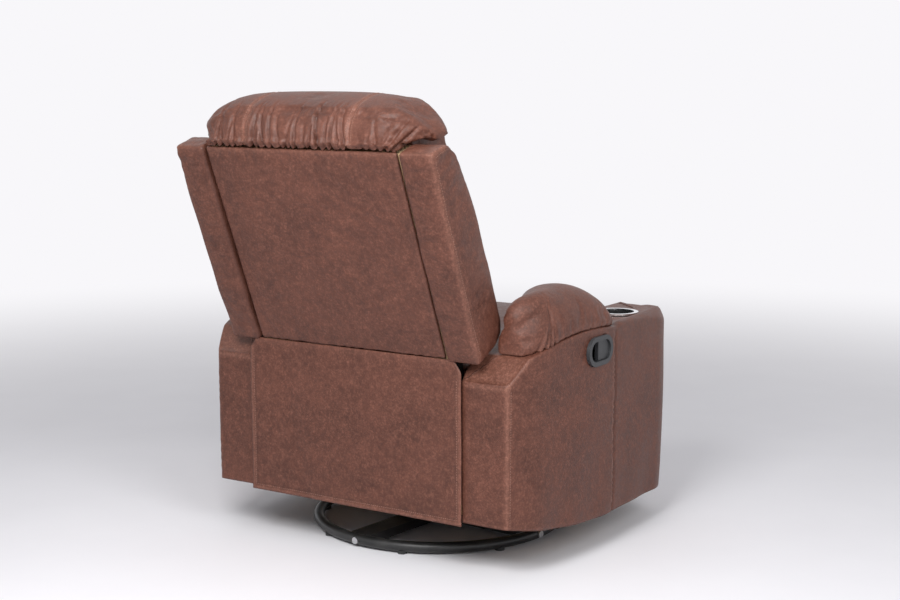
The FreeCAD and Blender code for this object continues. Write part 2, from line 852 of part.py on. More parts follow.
def pad_loop(place, low, high, base, shoulder, top, draw, bulge):
    """A cushion's section: flat base, sides that bulge and draw in, and a crowned top."""
    rise = (base + shoulder) / 2
    return loop(
        [
            (place(low, base), None),
            (place(high, base), place(high + bulge, rise)),
            (place(high - draw, shoulder), place((low + high) / 2, top)),
            (place(low + draw, shoulder), place(low - bulge, rise)),
        ]
    )


def loft(name, wires):
    """A closed solid through the wires, with its faces outwards."""
    shape = Part.makeLoft(wires, True, False)
    if shape.Volume < 0:
        shape.reverse()
    return solid(name, shape)


def stations(count):
    """Places from -1 to 1 along a cushion, closer together towards its ends."""
    return [-math.cos(math.pi * index / (count - 1)) for index in range(count)]


def swell(along, end, power=6):
    """A cushion's fullness: 1 in the middle, falling to end at both ends."""
    return 1 - (1 - end) * abs(along) ** power


def seat_cushion():
    """Crowned seat cushion, drawn in towards its front and rear ends."""
    half = size("arm_gap_half - arm_skin - cushion_gap")
    base = size("seat_cushion_base")
    crown = size("seat_cushion_crown")
    front, rear = -size("seat_cushion_front"), size("seat_cushion_rear")
    depth = size("seat_cushion_top") - base
    draw, bulge = size("cushion_draw"), size("cushion_bulge")
    wires = []
    for along in stations(9):
        y = (front + rear) / 2 + along * (rear - front) / 2
        top = base + depth * swell(along, 0.7)
        inset = size("cushion_end_inset") - size("cushion_end_inset - cushion_inset") * swell(along, 0)

        def at(x, z, y=y):
            return FreeCAD.Vector(x, y, z)

        wires.append(pad_loop(at, inset - half, half - inset, base, top - crown, top, draw, bulge))
    return loft("SeatCushion", wires)


def ottoman_cushion():
    """Crowned pad on the front of the footrest board."""
    half = size("ottoman_half_width")
    low, high = size(OTTOMAN_LOW), size(OTTOMAN_TOP)
    face = size(BOARD_FACE)
    depth = size("ottoman_pad")
    draw, bulge = size("cushion_draw"), size("cushion_bulge")
    wires = []
    for along in stations(9):
        full = swell(along, 0.6)

        def at(z, out, x=along * half):
            return FreeCAD.Vector(x, face - out, z)

        wires.append(pad_loop(at, low, high, 0, depth * full * 0.72, depth * full, draw, bulge / 2))
    return loft("OttomanCushion", wires)


def arm_plan(inset, inner):
    """The arm's outline seen from above, from its inner face round the bowed outer side."""
    back, front = size("arm_back") - inset, inset - size("arm_front")
    outer = size("arm_outer") - inset
    corner = size("arm_corner_radius") - inset
    face_end = FreeCAD.Vector(outer - corner, front)
    side_start = FreeCAD.Vector(outer, front + corner)
    bend = FreeCAD.Vector(outer, -size("arm_straight_y"))
    shoulder = FreeCAD.Vector(size("arm_shoulder") - inset, size("arm_shoulder_y"))
    back_corner = FreeCAD.Vector(size("arm_back_outer") - inset, back)
    ahead = FreeCAD.Vector(0, 1)
    chord = unit(shoulder - bend)
    shoulder_way = chord * (2 * ahead.dot(chord)) - ahead
    inner_back, inner_front = FreeCAD.Vector(inner, back), FreeCAD.Vector(inner, front)
    return Part.Wire(
        [
            Part.LineSegment(inner_front, face_end).toShape(),
            arc_after(face_end, FreeCAD.Vector(1, 0), side_start),
            Part.LineSegment(side_start, bend).toShape(),
            arc_after(bend, ahead, shoulder),
            arc_after(shoulder, shoulder_way, back_corner),
            Part.LineSegment(back_corner, inner_back).toShape(),
            Part.LineSegment(inner_back, inner_front).toShape(),
        ]
    )


def arm_side(inset, base):
    """The arm's outline seen from the side; base gives the height of its lower front edge."""
    rise = size("arm_base_back - arm_base_front")
    front, back = -size("arm_front"), size("arm_back")
    deck_front = size("arm_deck_front") - inset

    def at(y, z):
        return FreeCAD.Vector(0, y, z)

    chamfer = at(size("arm_chamfer_y"), size("arm_deck_rear") - inset)
    pad_end = at(-size("arm_pad_front"), deck_front)
    crest = at((chamfer.y + pad_end.y) / 2, size("arm_deck_mid") - inset)
    level = at(-size("arm_straight_y"), base)
    heel = at(back, base + rise)
    return Part.Wire(
        [
            Part.LineSegment(at(front, base), level).toShape(),
            arc_after(level, FreeCAD.Vector(0, 1, 0), heel),
            Part.LineSegment(heel, at(back, size("arm_chamfer_z") - inset)).toShape(),
            Part.LineSegment(at(back, size("arm_chamfer_z") - inset), chamfer).toShape(),
            Part.Arc(chamfer, crest, pad_end).toShape(),
            Part.LineSegment(pad_end, at(front, deck_front)).toShape(),
            Part.LineSegment(at(front, deck_front), at(front, base)).toShape(),
        ]
    )


def arm_block(inset, inner, base):
    """The space inside both outlines of the arm."""
    width, height = size("arm_outer"), size("arm_pad_top")
    plan = Part.Face(arm_plan(inset, inner)).extrude(FreeCAD.Vector(0, 0, height))
    side = Part.Face(arm_side(inset, base)).extrude(FreeCAD.Vector(width, 0, 0))
    return plan.common(side)


def arm_cover():
    """Upholstered skin of the arm: bowed side, wrapped front, back and deck, with a bored cup seat."""
    inner = size("arm_gap_half")
    base = size("arm_base_front")
    wall = size("arm_wall")
    block = arm_block(0, inner - size("arm_skin"), base)
    hollow = arm_block(wall, inner, base - size("arm_base_back"))
    skin = solid("ArmSkin", block.cut(hollow))
    inside = ("arm_gap_half - 2 * arm_skin", "arm_gap_half")
    bare = box(inside, ("-arm_front", "arm_back"), ("0", "arm_skin_low"))
    cup_hole = rod(
        "cup_radius + running_gap", "2 * arm_wall", ("cup_x", "-cup_y", "arm_deck_front - 1.5 * arm_wall")
    )
    return cut(skin, bare, cup_hole)


def arm_frame():
    """Plywood inner panel with the front post, back post and top rail behind it."""
    wall_front, wall_back = "(-arm_front + arm_wall)", "(arm_back - arm_wall)"
    outline = [
        (wall_front, "arm_base_front + arm_wall"),
        ("-arm_straight_y", "arm_base_front + arm_wall"),
        (wall_back, "arm_base_back + arm_wall"),
        (wall_back, "arm_chamfer_z - 2 * arm_wall"),
        ("arm_chamfer_y - arm_wall", "arm_panel_top"),
        (wall_front, "arm_panel_top"),
    ]
    panel = plate(outline, "arm_gap_half", "arm_panel", [CABLE_HOLE])
    outside = "arm_gap_half + arm_panel"
    span_x = (outside, f"{outside} + post_width")
    low = "arm_base_back + arm_wall"
    post_y = (f"{wall_front} + link_gap", f"{wall_front} + post_depth")
    front_post = box(span_x, post_y, (low, "arm_panel_top"))
    back_post = box(span_x, (f"{wall_back} - arm_panel", wall_back), (low, "arm_chamfer_z - 2 * arm_wall"))
    rail_y = (f"{wall_front} + post_depth", "arm_chamfer_y - 2 * post_depth")
    top_rail = box(span_x, rail_y, ("arm_panel_top - arm_panel", "arm_panel_top"))
    return group(panel, front_post, back_post, top_rail)


def deck_height(y):
    """Height of the arm's deck, an arc from its chamfer over the crest to the pad's front end."""
    rear, front = size("arm_chamfer_y"), -size("arm_pad_front")
    middle = (rear + front) / 2
    ends = {rear: size("arm_deck_rear"), middle: size("arm_deck_mid"), front: size("arm_deck_front")}
    height = 0
    for place, z in ends.items():
        others = [other for other in ends if other != place]
        height += z * math.prod((y - other) / (place - other) for other in others)
    return height


def arm_pad():
    """Pillow on the arm: high and full, with a blunt front end behind the cup, clear of the wing."""
    rear, front = size("arm_chamfer_y"), -size("arm_pad_front")
    top = size("arm_pad_top")
    gap = size("running_gap")
    inner = size("arm_gap_half")
    beside_wing = size("wing_inner + wing_width + cushion_gap")
    draw, bulge = size("cushion_draw"), size("cushion_bulge")
    # Share of the way from the rear to the front, and share of the full height there
    rows = (
        (0, 0.9),
        (0.03, 1.06),
        (0.1, 1.15),
        (0.24, 1.12),
        (0.42, 1.04),
        (0.6, 0.97),
        (0.78, 0.86),
        (0.9, 0.7),
        (0.97, 0.52),
        (1, 0.36),
    )
    wires = []
    for along, full in rows:
        y = rear + along * (front - rear)
        base = deck_height(y) + gap
        crown = base + (top - size("arm_deck_mid")) * full
        draw_in = size("cushion_inset") + size("cushion_end_inset") * abs(2 * along - 1) ** 8
        forward = min(1, max(0, (along - 0.16) / 0.38))
        low = beside_wing + (inner + bulge + draw_in - beside_wing) * forward ** 2 * (3 - 2 * forward)
        outer = side_reach(y) - draw_in
        shoulder = base + (crown - base) * 0.66

        def at(x, z, y=y):
            return FreeCAD.Vector(x, y, z)

        wires.append(pad_loop(at, low, outer, base, shoulder, crown, draw, bulge))
    return loft("ArmPad", wires)


def side_reach(y):
    """How far out the arm's bowed side is at a place along the arm."""
    straight, shoulder_y = -size("arm_straight_y"), size("arm_shoulder_y")
    outer, shoulder = size("arm_outer"), size("arm_shoulder")
    if y <= straight:
        return outer
    if y <= shoulder_y:
        return outer - (outer - shoulder) * ((y - straight) / (shoulder_y - straight)) ** 2
    along = (y - shoulder_y) / (size("arm_back") - shoulder_y)
    return shoulder - (shoulder - size("arm_back_outer")) * along


def cup_holder():
    """Deep cup with a flange that rests on the deck."""
    deck = "arm_deck_front"
    low = f"{deck} - cup_depth"
    body = rod("cup_radius", "cup_depth", ("cup_x", "-cup_y", low))
    flange = rod("cup_rim_radius", "cup_wall", ("cup_x", "-cup_y", deck))
    hollow = rod("cup_radius - cup_wall", "cup_depth + cup_wall", ("cup_x", "-cup_y", f"{low} + cup_wall"))
    return cut(fuse(body, flange), hollow)


def cup_rims():
    """Bright rings on the cups' flanges."""
    low = "arm_deck_front + cup_wall"
    outer = rod("cup_rim_radius", "cup_rim_height", ("cup_x", "-cup_y", low))
    bore = rod("cup_radius - cup_wall", "3 * cup_rim_height", ("cup_x", "-cup_y", f"{low} - cup_rim_height"))
    return pair(cut(outer, bore))


node("seat_cushion", seat_cushion())
node("ottoman_cushion", ottoman_cushion())
both_sides("arm_frame", arm_frame)
both_sides("arm_pad", arm_pad)
both_sides("cup_holder", cup_holder)
node("cup_rims", cup_rims())
ARM_COVER = node("arm_cover_left", arm_cover())


def stadium(margin, x_low, x_high):
    """A block with round ends along Y, at the handle's place, smaller by margin all round."""
    radius = f"(handle_height / 2 - ({margin}))"
    reach = "(handle_length - handle_height) / 2"
    length = f"({x_high}) - ({x_low})"
    y_low, y_high = f"handle_y - {reach}", f"handle_y + {reach}"
    block = box((x_low, x_high), (y_low, y_high), (f"handle_z - {radius}", f"handle_z + {radius}"))
    ends = [rod(radius, length, (x_low, y, "handle_z"), "x") for y in (y_low, y_high)]
    return fuse(block, *ends)


HANDLE_INNER = "(arm_outer - handle_depth)"
HANDLE_FACE = "(arm_outer + handle_flange)"
PADDLE_X = "(arm_outer - paddle_thickness - paddle_gap)"
PADDLE_MARGIN = "(handle_lip + handle_wall + paddle_gap)"
PADDLE_MID_X = f"({PADDLE_X} + paddle_thickness / 2)"
PADDLE_PIVOT_Y = "(handle_y - handle_pivot)"
PADDLE_END_Y = "(handle_y + handle_length * (paddle_share - 0.5))"


def handle_pivot_rod(radius):
    half = "(handle_height / 2 - handle_lip - paddle_gap)"
    return rod(radius, f"2 * {half}", (PADDLE_MID_X, PADDLE_PIVOT_Y, f"handle_z - {half}"))


def handle_bezel():
    """Recessed pull: a flange that follows the arm's side, and a tray behind it."""
    flange = cut(stadium("0", "arm_outer - arm_wall", HANDLE_FACE), ARM_COVER)
    tray = stadium("handle_lip", HANDLE_INNER, HANDLE_FACE)
    hollow = stadium("handle_lip + handle_wall", f"{HANDLE_INNER} + handle_wall", f"{HANDLE_FACE} + 1")
    shell = cut(fuse(flange, tray), hollow, handle_pivot_rod("handle_pin_radius"))
    return mirrored(shell)


def handle_paddle():
    """Pull paddle, hinged near its front end and free at its rear end."""
    form = stadium(PADDLE_MARGIN, PADDLE_X, f"{PADDLE_X} + paddle_thickness")
    keep = box(
        (PADDLE_X, f"{PADDLE_X} + paddle_thickness"),
        ("handle_y - handle_length", PADDLE_END_Y),
        ("handle_z - handle_height", "handle_z + handle_height"),
    )
    return mirrored(cut(common(form, keep), handle_pivot_rod("handle_pin_radius + fit_clearance")))


def arm_cover_right():
    hole = stadium("handle_lip - running_gap", "arm_outer - 3 * arm_wall", HANDLE_FACE)
    return cut(mirrored(ARM_COVER), mirrored(hole))


LATCH_X = LINK_X
LATCH_PIVOT_Y = "(handle_y + latch_arm)"


def release_cable():
    """Cable inside the arm: in from the tray, down, and in through the panel and rail to the latch."""
    y, top, low = size("handle_y"), size("handle_z"), size("latch_z")
    start_x, drop_x = size(HANDLE_INNER), size("cable_drop_x")
    end_x = size(f"{LATCH_X} + steel_thickness + running_gap")
    bend = size("cable_bend")

    def at(x, z):
        return FreeCAD.Vector(-x, y, z)

    start, end = at(start_x, top), at(end_x, low)
    upper = [at(drop_x + bend, top), at(drop_x, top - bend)]
    lower = [at(drop_x, low + bend), at(drop_x - bend, low)]
    path = Part.Wire(
        [
            Part.LineSegment(start, upper[0]).toShape(),
            arc_after(upper[0], FreeCAD.Vector(1, 0, 0), upper[1]),
            Part.LineSegment(upper[1], lower[0]).toShape(),
            arc_after(lower[0], FreeCAD.Vector(0, 0, -1), lower[1]),
            Part.LineSegment(lower[1], end).toShape(),
        ]
    )
    radius = size("cable_radius")
    section = Part.Wire([Part.Circle(start, FreeCAD.Vector(1, 0, 0), radius).toShape()])
    shape = path.makePipeShell([section], True, False)
    straight = path.Length * math.pi * radius ** 2
    print(f"cable {path.Length:.0f} mm, volume ratio {shape.Volume / straight:.4f}")
    return solid("ReleaseCable", shape)


def latch_hook():
    """Footrest catch on the right rail, pulled by the cable."""
    ends = (("handle_y", "latch_z"), (LATCH_PIVOT_Y, "latch_z"))
    return mirrored(link(LATCH_X, ends, [(LATCH_PIVOT_Y, "latch_z", PIN_HOLE)]))


def latch_pin():
    head = f"{LATCH_X} - pin_head_height - running_gap"
    return mirrored(pin(head, RAIL_X, LATCH_PIVOT_Y, "latch_z", head))


def on_back(thing):
    """Leans a piece, modelled upright from the back's lower seam, to the back's tilt."""
    return put(thing, "0", "seam_y", "seam_z", axis=(1, 0, 0), angle="-back_tilt")


STILE_FRONT = "(-panel_thickness - stile_depth)"
STILE_OUT = "(wing_inner - steel_thickness)"
STILE_TOP = "(back_length - 10)"
PIVOT_DY = "(recline_y - seam_y)"
PIVOT_DZ = "(recline_z - seam_z)"
PIVOT_V = f"({PIVOT_DY} * cos(back_tilt) - {PIVOT_DZ} * sin(back_tilt))"
PIVOT_U = f"({PIVOT_DY} * sin(back_tilt) + {PIVOT_DZ} * cos(back_tilt))"


def back_panel():
    width = ("-panel_half_width", "panel_half_width")
    return on_back(group(box(width, ("-panel_thickness", "0"), ("0", "back_length"))))


def back_stiles():
    depth = (STILE_FRONT, "-panel_thickness")
    left = box((STILE_X, STILE_OUT), depth, ("-stile_width", STILE_TOP))
    right = box((f"-{STILE_OUT}", f"-{STILE_X}"), depth, ("-stile_width", STILE_TOP))
    return on_back(group(left, right))


def back_rails():
    """Cross rails between the stiles at the bottom, middle and top of the back."""
    width = (f"-{STILE_X}", STILE_X)
    depth = ("-panel_thickness - stile_depth / 2", "-panel_thickness")
    starts = ("0", f"({STILE_TOP} - stile_width) / 2", f"{STILE_TOP} - stile_width")
    return on_back(group(*[box(width, depth, (low, f"{low} + stile_width")) for low in starts]))


def back_brackets():
    """Steel straps from the recline pivots up the outer faces of the stiles."""
    half = "link_half_width * 1.6"
    top = "back_length * 0.36"
    outline = [
        (f"{PIVOT_V} - {half}", f"{PIVOT_U} - {half}"),
        (f"{PIVOT_V} + {half}", f"{PIVOT_U} - {half}"),
        ("-panel_thickness - link_half_width / 2", "-link_half_width"),
        ("-panel_thickness - link_half_width / 2", top),
        (f"{STILE_FRONT} + link_half_width / 2", top),
        (f"{STILE_FRONT} + link_half_width / 2", "-link_half_width"),
    ]
    strap = plate(outline, STILE_OUT, "steel_thickness", [(PIVOT_V, PIVOT_U, PIN_HOLE)])
    return on_back(pair(strap))


def back_webbing():
    """Elastic bands across the front of the stiles."""
    bands = []
    count = int(size("webbing_count"))
    for index in range(count):
        low = f"stile_width + {index} * ({STILE_TOP} - 3 * stile_width) / (webbing_count - 1)"
        depth = (f"{STILE_FRONT} - webbing_thickness", STILE_FRONT)
        bands.append(box((f"-{STILE_OUT}", STILE_OUT), depth, (low, f"{low} + webbing_width")))
    return on_back(group(*bands))


CUSHION_BACK = f"({STILE_FRONT} - webbing_thickness - running_gap)"


def back_cushion():
    """Inner back cushion in three horizontal channels, drawn in at its sides."""
    half = size("wing_inner - cushion_gap / 3")
    back = size(CUSHION_BACK)
    depth = size("back_cushion_depth")
    low, high = -size("back_cushion_base"), size("back_cushion_top")
    step = (high - low) / 3
    wires = []
    for along in stations(9):
        x = along * half
        full = swell(along, 0.7)
        channel_y = back - depth * full * 0.78
        points = [(FreeCAD.Vector(x, back, high), None), (FreeCAD.Vector(x, back, low), None)]
        for index in range(3):
            start = low + index * step
            middle = FreeCAD.Vector(x, back - depth * full, start + step / 2)
            points.append((FreeCAD.Vector(x, channel_y, start), middle))
        points.append((FreeCAD.Vector(x, channel_y, high), None))
        wires.append(loop(points))
    return on_back(loft("BackCushion", wires))


def wing():
    """Padded side wing of the back: full along its length, rounded over at the top, nipped at the bottom."""
    inner, width = size("wing_inner"), size("wing_width")
    proud, depth = size("wing_proud"), size("wing_depth")
    length = size("back_length")
    # Share of the length, and shares of the back's stand, the depth and the width there
    rows = (
        (-0.012, -0.05, 0.64, 0.86),
        (0.03, 0.9, 0.95, 0.97),
        (0.2, 1, 1, 1),
        (0.57, 1, 0.97, 1),
        (0.77, 1, 0.9, 1),
        (0.91, 1, 0.76, 1),
        (0.985, 0.8, 0.55, 0.96),
        (1.012, -0.9, 0.38, 0.88),
    )
    wires = []
    for along, back_share, front_share, reach in rows:
        u = along * length
        back, front = proud * back_share, -depth * front_share
        outer = inner + width * reach
        corner = width * 0.16

        def at(x, v, u=u):
            return FreeCAD.Vector(x, v, u)

        middle = (inner + outer) / 2
        wires.append(
            loop(
                [
                    (at(inner, front + corner), None),
                    (at(inner, back - corner / 2), at(middle, back)),
                    (at(outer - corner / 4, back - corner / 2), at(outer, (back + front) / 2)),
                    (at(outer - corner / 4, front + corner), at(middle, front)),
                ]
            )
        )
    return on_back(loft("Wing", wires))


def headrest_cushion():
    """Pillow that rolls over the top of the back and hangs down its front between the wings."""
    base = size("back_length")
    seat = base + size("cushion_gap") * 2
    top = size("headrest_top")
    half = size("headrest_half_width")
    front, rear, middle = size("headrest_front"), size("headrest_back"), size("headrest_middle")
    gap = front - middle
    roll = []
    for along in stations(11):
        x = along * half
        full = swell(along, 0.22, 7)
        crest = seat + (top - size("cushion_gap") * 2) * full
        rise = crest - seat
        draw = (1 - full) * size("headrest_draw")
        heel = -rear - size("headrest_corner") * abs(along) ** 8
        nape = heel - 0.4 * gap * full
        brow = 0.9 * draw - front + 0.1 * gap

        def at(v, u, x=x):
            return FreeCAD.Vector(x, v, u)

        roll.append(
            loop(
                [
                    (at(draw - front, seat), None),
                    (at(heel, seat), at(heel - 0.1 * gap * full, seat + rise * 0.5)),
                    (at(nape, seat + rise * 0.86), at(-middle, crest)),
                    (at(brow, seat + rise * 0.7), at(draw - front, seat + rise * 0.35)),
                ]
            )
        )
    shoulder = size("wing_inner - cushion_gap / 3")
    back = size(CUSHION_BACK)
    low = size("back_cushion_top + cushion_gap")
    hang = []
    for along in stations(9):
        x = along * shoulder
        full = swell(along, 0.72)
        depth = size("headrest_drop") + size("headrest_swell") * full

        def at(v, u, x=x):
            return FreeCAD.Vector(x, v, u)

        hang.append(
            loop(
                [
                    (at(back, low), None),
                    (at(back, seat + 8), None),
                    (at(back - depth * 0.86, seat + 8), at(back - depth, (low + seat) / 2)),
                    (at(back - depth * 0.8, low), at(back - depth * 0.4, low - 1)),
                ]
            )
        )
    neck_width = ("-panel_half_width", "panel_half_width")
    neck = box(neck_width, (STILE_FRONT, "0"), ("back_length + running_gap", "back_length + 3 * cushion_gap"))
    return on_back(fuse(loft("HeadrestRoll", roll), loft("HeadrestHang", hang), neck))


def back_flap():
    """Upholstered flap that hangs from the back's lower seam, with its top corners cut away."""
    top = "(seam_z - running_gap)"
    outline = [
        ("-flap_half_width", "flap_low"),
        ("flap_half_width", "flap_low"),
        ("flap_half_width", f"{top} - flap_corner * 2"),
        ("panel_half_width", top),
        ("-panel_half_width", top),
        ("-flap_half_width", f"{top} - flap_corner * 2"),
    ]
    return plate(outline, "-(seam_y - running_gap)", "flap_thickness", role="XZ_Plane")


node("arm_cover_right", arm_cover_right())
node("handle_bezel", handle_bezel())
node("handle_paddle", handle_paddle())
node("handle_pin", mirrored(handle_pivot_rod("handle_pin_radius")))
node("release_cable", release_cable())
node("latch_hook", latch_hook())
node("latch_pin", latch_pin())
node("back_panel", back_panel())
node("back_stiles", back_stiles())
node("back_rails", back_rails())
node("back_brackets", back_brackets())
node("back_webbing", back_webbing())
node("back_cushion", back_cushion())
both_sides("wing", wing)
node("headrest_cushion", headrest_cushion())
node("back_flap", back_flap())


def check_model():
    """Stops before anything is written if a feature failed or a shape is empty or broken."""
    document.recompute()
    for thing in document.Objects:
        if {"Invalid", "Error"} & set(thing.State):
            raise RuntimeError(f"{thing.Name} ({thing.Label}) failed: {thing.State}")
    for name, thing in NODES.items():
        shape = thing.Shape
        if shape.isNull() or not shape.isValid() or not shape.Solids:
            raise RuntimeError(f"{name} has no valid solid")


check_model()
os.makedirs("parts", exist_ok=True)
for name, thing in NODES.items():
    thing.Shape.exportStep(f"parts/{name}.step")
    print(f"{name}: {len(thing.Shape.Solids)} solids, {thing.Shape.Volume / 1000:.1f} cm3")
print(f"{len(NODES)} nodes")
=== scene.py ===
# %% [markdown]
# # A swivel rocker recliner
# The chair stands on a black ring base. It turns, rocks, leans back and lifts a footrest. The metal and
# wood arrive as finished CAD parts in metres, so this lesson dresses them: it gives each part a finish
# and makes the brown upholstery, which is soft and can't come from a drawing of flat plates.

# %% Load the frame
import json
import math

import bpy
import numpy as np
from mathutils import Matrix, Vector


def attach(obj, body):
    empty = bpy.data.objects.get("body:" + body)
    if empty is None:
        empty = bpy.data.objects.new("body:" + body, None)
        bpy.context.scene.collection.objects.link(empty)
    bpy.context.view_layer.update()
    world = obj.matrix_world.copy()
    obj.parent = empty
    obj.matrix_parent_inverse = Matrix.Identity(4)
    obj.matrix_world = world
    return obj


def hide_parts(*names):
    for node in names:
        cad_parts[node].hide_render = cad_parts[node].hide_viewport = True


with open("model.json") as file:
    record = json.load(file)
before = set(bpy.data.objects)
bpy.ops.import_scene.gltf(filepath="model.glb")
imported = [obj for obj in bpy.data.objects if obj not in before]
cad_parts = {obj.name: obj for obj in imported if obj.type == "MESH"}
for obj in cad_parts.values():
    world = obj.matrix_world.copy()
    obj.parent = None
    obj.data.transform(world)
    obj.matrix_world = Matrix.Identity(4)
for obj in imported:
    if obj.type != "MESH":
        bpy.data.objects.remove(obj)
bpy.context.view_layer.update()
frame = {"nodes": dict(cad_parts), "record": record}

scene = bpy.context.scene

# %% [markdown]
# ## Camera, floor and light
# A picture taken from behind and to one side shows the back, the flap and one arm. A long lens at about
# 3.7 m keeps upright edges nearly parallel. The floor and the background are pale, and three soft lamps
# with an even sky light the leather at a plain level, so that its colours render about as they are
# written.

# %% Camera
CAMERA_PLACE = Vector((-1.994, 3.018, 1.070))
CAMERA_TARGET = Vector((-0.0231, -0.0150, 0.5366))
CAMERA_LENS = 61.26

camera_data = bpy.data.cameras.new("camera")
camera_data.lens = CAMERA_LENS
camera = bpy.data.objects.new("camera", camera_data)
scene.collection.objects.link(camera)
camera.location = CAMERA_PLACE
camera.rotation_euler = (CAMERA_TARGET - CAMERA_PLACE).to_track_quat("-Z", "Y").to_euler()
scene.camera = camera
print("camera is", round((CAMERA_TARGET - CAMERA_PLACE).length, 2), "m away")


# %% Soft lamps
def soft_lamp(name, place, target, width, power):
    """A square area lamp that faces the target."""
    data = bpy.data.lights.new(name, "AREA")
    data.size = width
    data.energy = power
    lamp = bpy.data.objects.new(name, data)
    scene.collection.objects.link(lamp)
    lamp.location = place
    lamp.rotation_euler = (Vector(target) - Vector(place)).to_track_quat("-Z", "Y").to_euler()


soft_lamp("lamp_over_back", (-0.6, 1.9, 1.75), (0, 0.45, 0.85), 0.9, 42)
soft_lamp("lamp_right", (-2.8, 1.5, 2.0), (-0.3, 0, 0.4), 1.6, 46)
soft_lamp("lamp_overhead", (0.6, -0.6, 3.6), (0, 0, 0.4), 2.8, 8)
scene.view_settings.view_transform = "Standard"


# %% [markdown]
# ## Finishes
# A finish is a shader made of nodes. Adding nodes one by one hides the sum that they do, so a small class
# wraps a node's output and lets Python's own operators add the Math nodes. Every other node comes from
# one method.

# %% Shader sums as Python expressions
# A Mix node set to colours has its colour sockets after those for numbers and vectors.
MIX_SHARE = 0
MIX_FIRST = 6
MIX_SECOND = 7
MIX_RESULT = 2


class Value:
    """One output of a node. Sums on it add Math nodes to the same finish."""

    def __init__(self, finish, socket):
        self.finish = finish
        self.socket = socket

    def sum(self, operation, other):
        return self.finish.node("ShaderNodeMath", {"operation": operation}, {0: self, 1: other})

    def __add__(self, other):
        return self.sum("ADD", other)

    def __sub__(self, other):
        return self.sum("SUBTRACT", other)

    def __mul__(self, other):
        return self.sum("MULTIPLY", other)

    __radd__ = __add__
    __rmul__ = __mul__


class Finish:
    """A material with a Principled shader, to which nodes are added."""

    def __init__(self, name, **constants):
        self.material = bpy.data.materials.new(name)
        self.material.use_nodes = True
        self.tree = self.material.node_tree
        self.shader = self.tree.nodes["Principled BSDF"]
        for socket, value in constants.items():
            self.shader.inputs[socket.replace("_", " ")].default_value = value

    def node(self, kind, settings, inputs, output=0):
        """Adds a node: its settings first, then the values or links of its sockets."""
        made = self.tree.nodes.new(kind)
        for setting, value in settings.items():
            if setting == "stops":
                self.set_stops(made.color_ramp, value)
            else:
                setattr(made, setting, value)
        for socket, value in inputs.items():
            self.join(made.inputs[socket], value)
        return Value(self, made.outputs[output])

    @staticmethod
    def set_stops(ramp, stops):
        while len(ramp.elements) < len(stops):
            ramp.elements.new(0.5)
        for element, (place, level) in zip(ramp.elements, stops):
            element.position = place
            element.color = grey(level)

    def join(self, socket, value):
        if isinstance(value, Value):
            self.tree.links.new(value.socket, socket)
        else:
            socket.default_value = value

    def feed(self, **inputs):
        for socket, value in inputs.items():
            self.join(self.shader.inputs[socket.replace("_", " ")], value)

    def place(self):
        """Object coordinates, in metres from the swivel's foot."""
        return self.node("ShaderNodeTexCoord", {}, {}, "Object")

    def noise(self, place, scale, detail=3, roughness=0.55):
        inputs = {"Vector": place, "Scale": scale, "Detail": detail, "Roughness": roughness}
        return self.node("ShaderNodeTexNoise", {}, inputs, "Fac")

    def cells(self, place, scale, feature="F1"):
        inputs = {"Vector": place, "Scale": scale}
        return self.node("ShaderNodeTexVoronoi", {"feature": feature}, inputs, "Distance")

    def ramp(self, value, *stops):
        return self.node("ShaderNodeValToRGB", {"stops": stops}, {"Fac": value})

    def painted(self, name):
        """A number that was painted on the piece's points."""
        return self.node("ShaderNodeAttribute", {"attribute_name": name}, {}, "Fac")

    def mix(self, share, first, second):
        inputs = {MIX_SHARE: share, MIX_FIRST: first, MIX_SECOND: second}
        return self.node("ShaderNodeMix", {"data_type": "RGBA"}, inputs, MIX_RESULT)

    def bump(self, height, distance, strength=1.0):
        inputs = {"Height": height, "Distance": distance, "Strength": strength}
        return self.node("ShaderNodeBump", {}, inputs)


def colour(red, green, blue):
    return (red, green, blue, 1)


def grey(level):
    return colour(level, level, level)


# %% [markdown]
# ### Brown coated leather
# The cover is a brown coated cloth that copies worn leather. Close to, it has a fine pebbled grain. From
# a step away it is mottled: clouds of darker and redder brown a few centimetres across, with small pale
# rubbed flecks, and seams and edges that are worn lighter. Three noises make the clouds and flecks, cell
# patterns make the grain, and two numbers painted on each piece lighten its worn seams and edges and
# paint shade into its folds, seam grooves and slots.

# %% Leather
LEATHER_DEEP = colour(0.058, 0.0195, 0.012)
LEATHER_BROWN = colour(0.148, 0.053, 0.034)
LEATHER_RUBBED = colour(0.330, 0.150, 0.105)
# Painted shade: the dark brown that folds, seam grooves and slots are darkened to, where shade falls.
LEATHER_PAINTED_SHADE = colour(0.045, 0.017, 0.012)


def leather_finish(name):
    finish = Finish(name, Specular_IOR_Level=0.30)
    place = finish.place()
    clouds = finish.ramp(finish.noise(place, 11, 4, 0.6), (0.32, 0), (0.66, 1))
    blotches = finish.ramp(finish.noise(place, 62, 5, 0.7), (0.36, 0), (0.66, 1))
    flecks = finish.ramp(finish.noise(place, 190, 4, 0.75), (0.46, 0), (0.70, 1))
    grain = finish.cells(place, 520)
    creases = finish.cells(place, 210, "DISTANCE_TO_EDGE")
    wear = finish.painted("wear")
    # Painted shade: a number painted on each piece, high in its folds, seam grooves and slots, that darkens
    # the colour there.
    crease = finish.painted("crease")
    brown = finish.mix(clouds * 0.32 + blotches * 0.38 + flecks * 0.30, LEATHER_DEEP, LEATHER_BROWN)
    rubbed = finish.mix(flecks * blotches * 0.30 + wear * (0.35 + 0.45 * flecks), brown, LEATHER_RUBBED)
    finish.feed(
        Base_Color=finish.mix(crease, rubbed, LEATHER_PAINTED_SHADE),
        Roughness=0.36 + 0.13 * blotches + 0.08 * clouds - 0.06 * wear,
        Normal=finish.bump(grain * 0.7 + finish.ramp(creases, (0, 0), (0.12, 1)) * 0.5, 0.0005, 0.55),
    )
    return finish.material


LEATHER = leather_finish("brown_leather")
print("leather has", len(LEATHER.node_tree.nodes), "nodes")


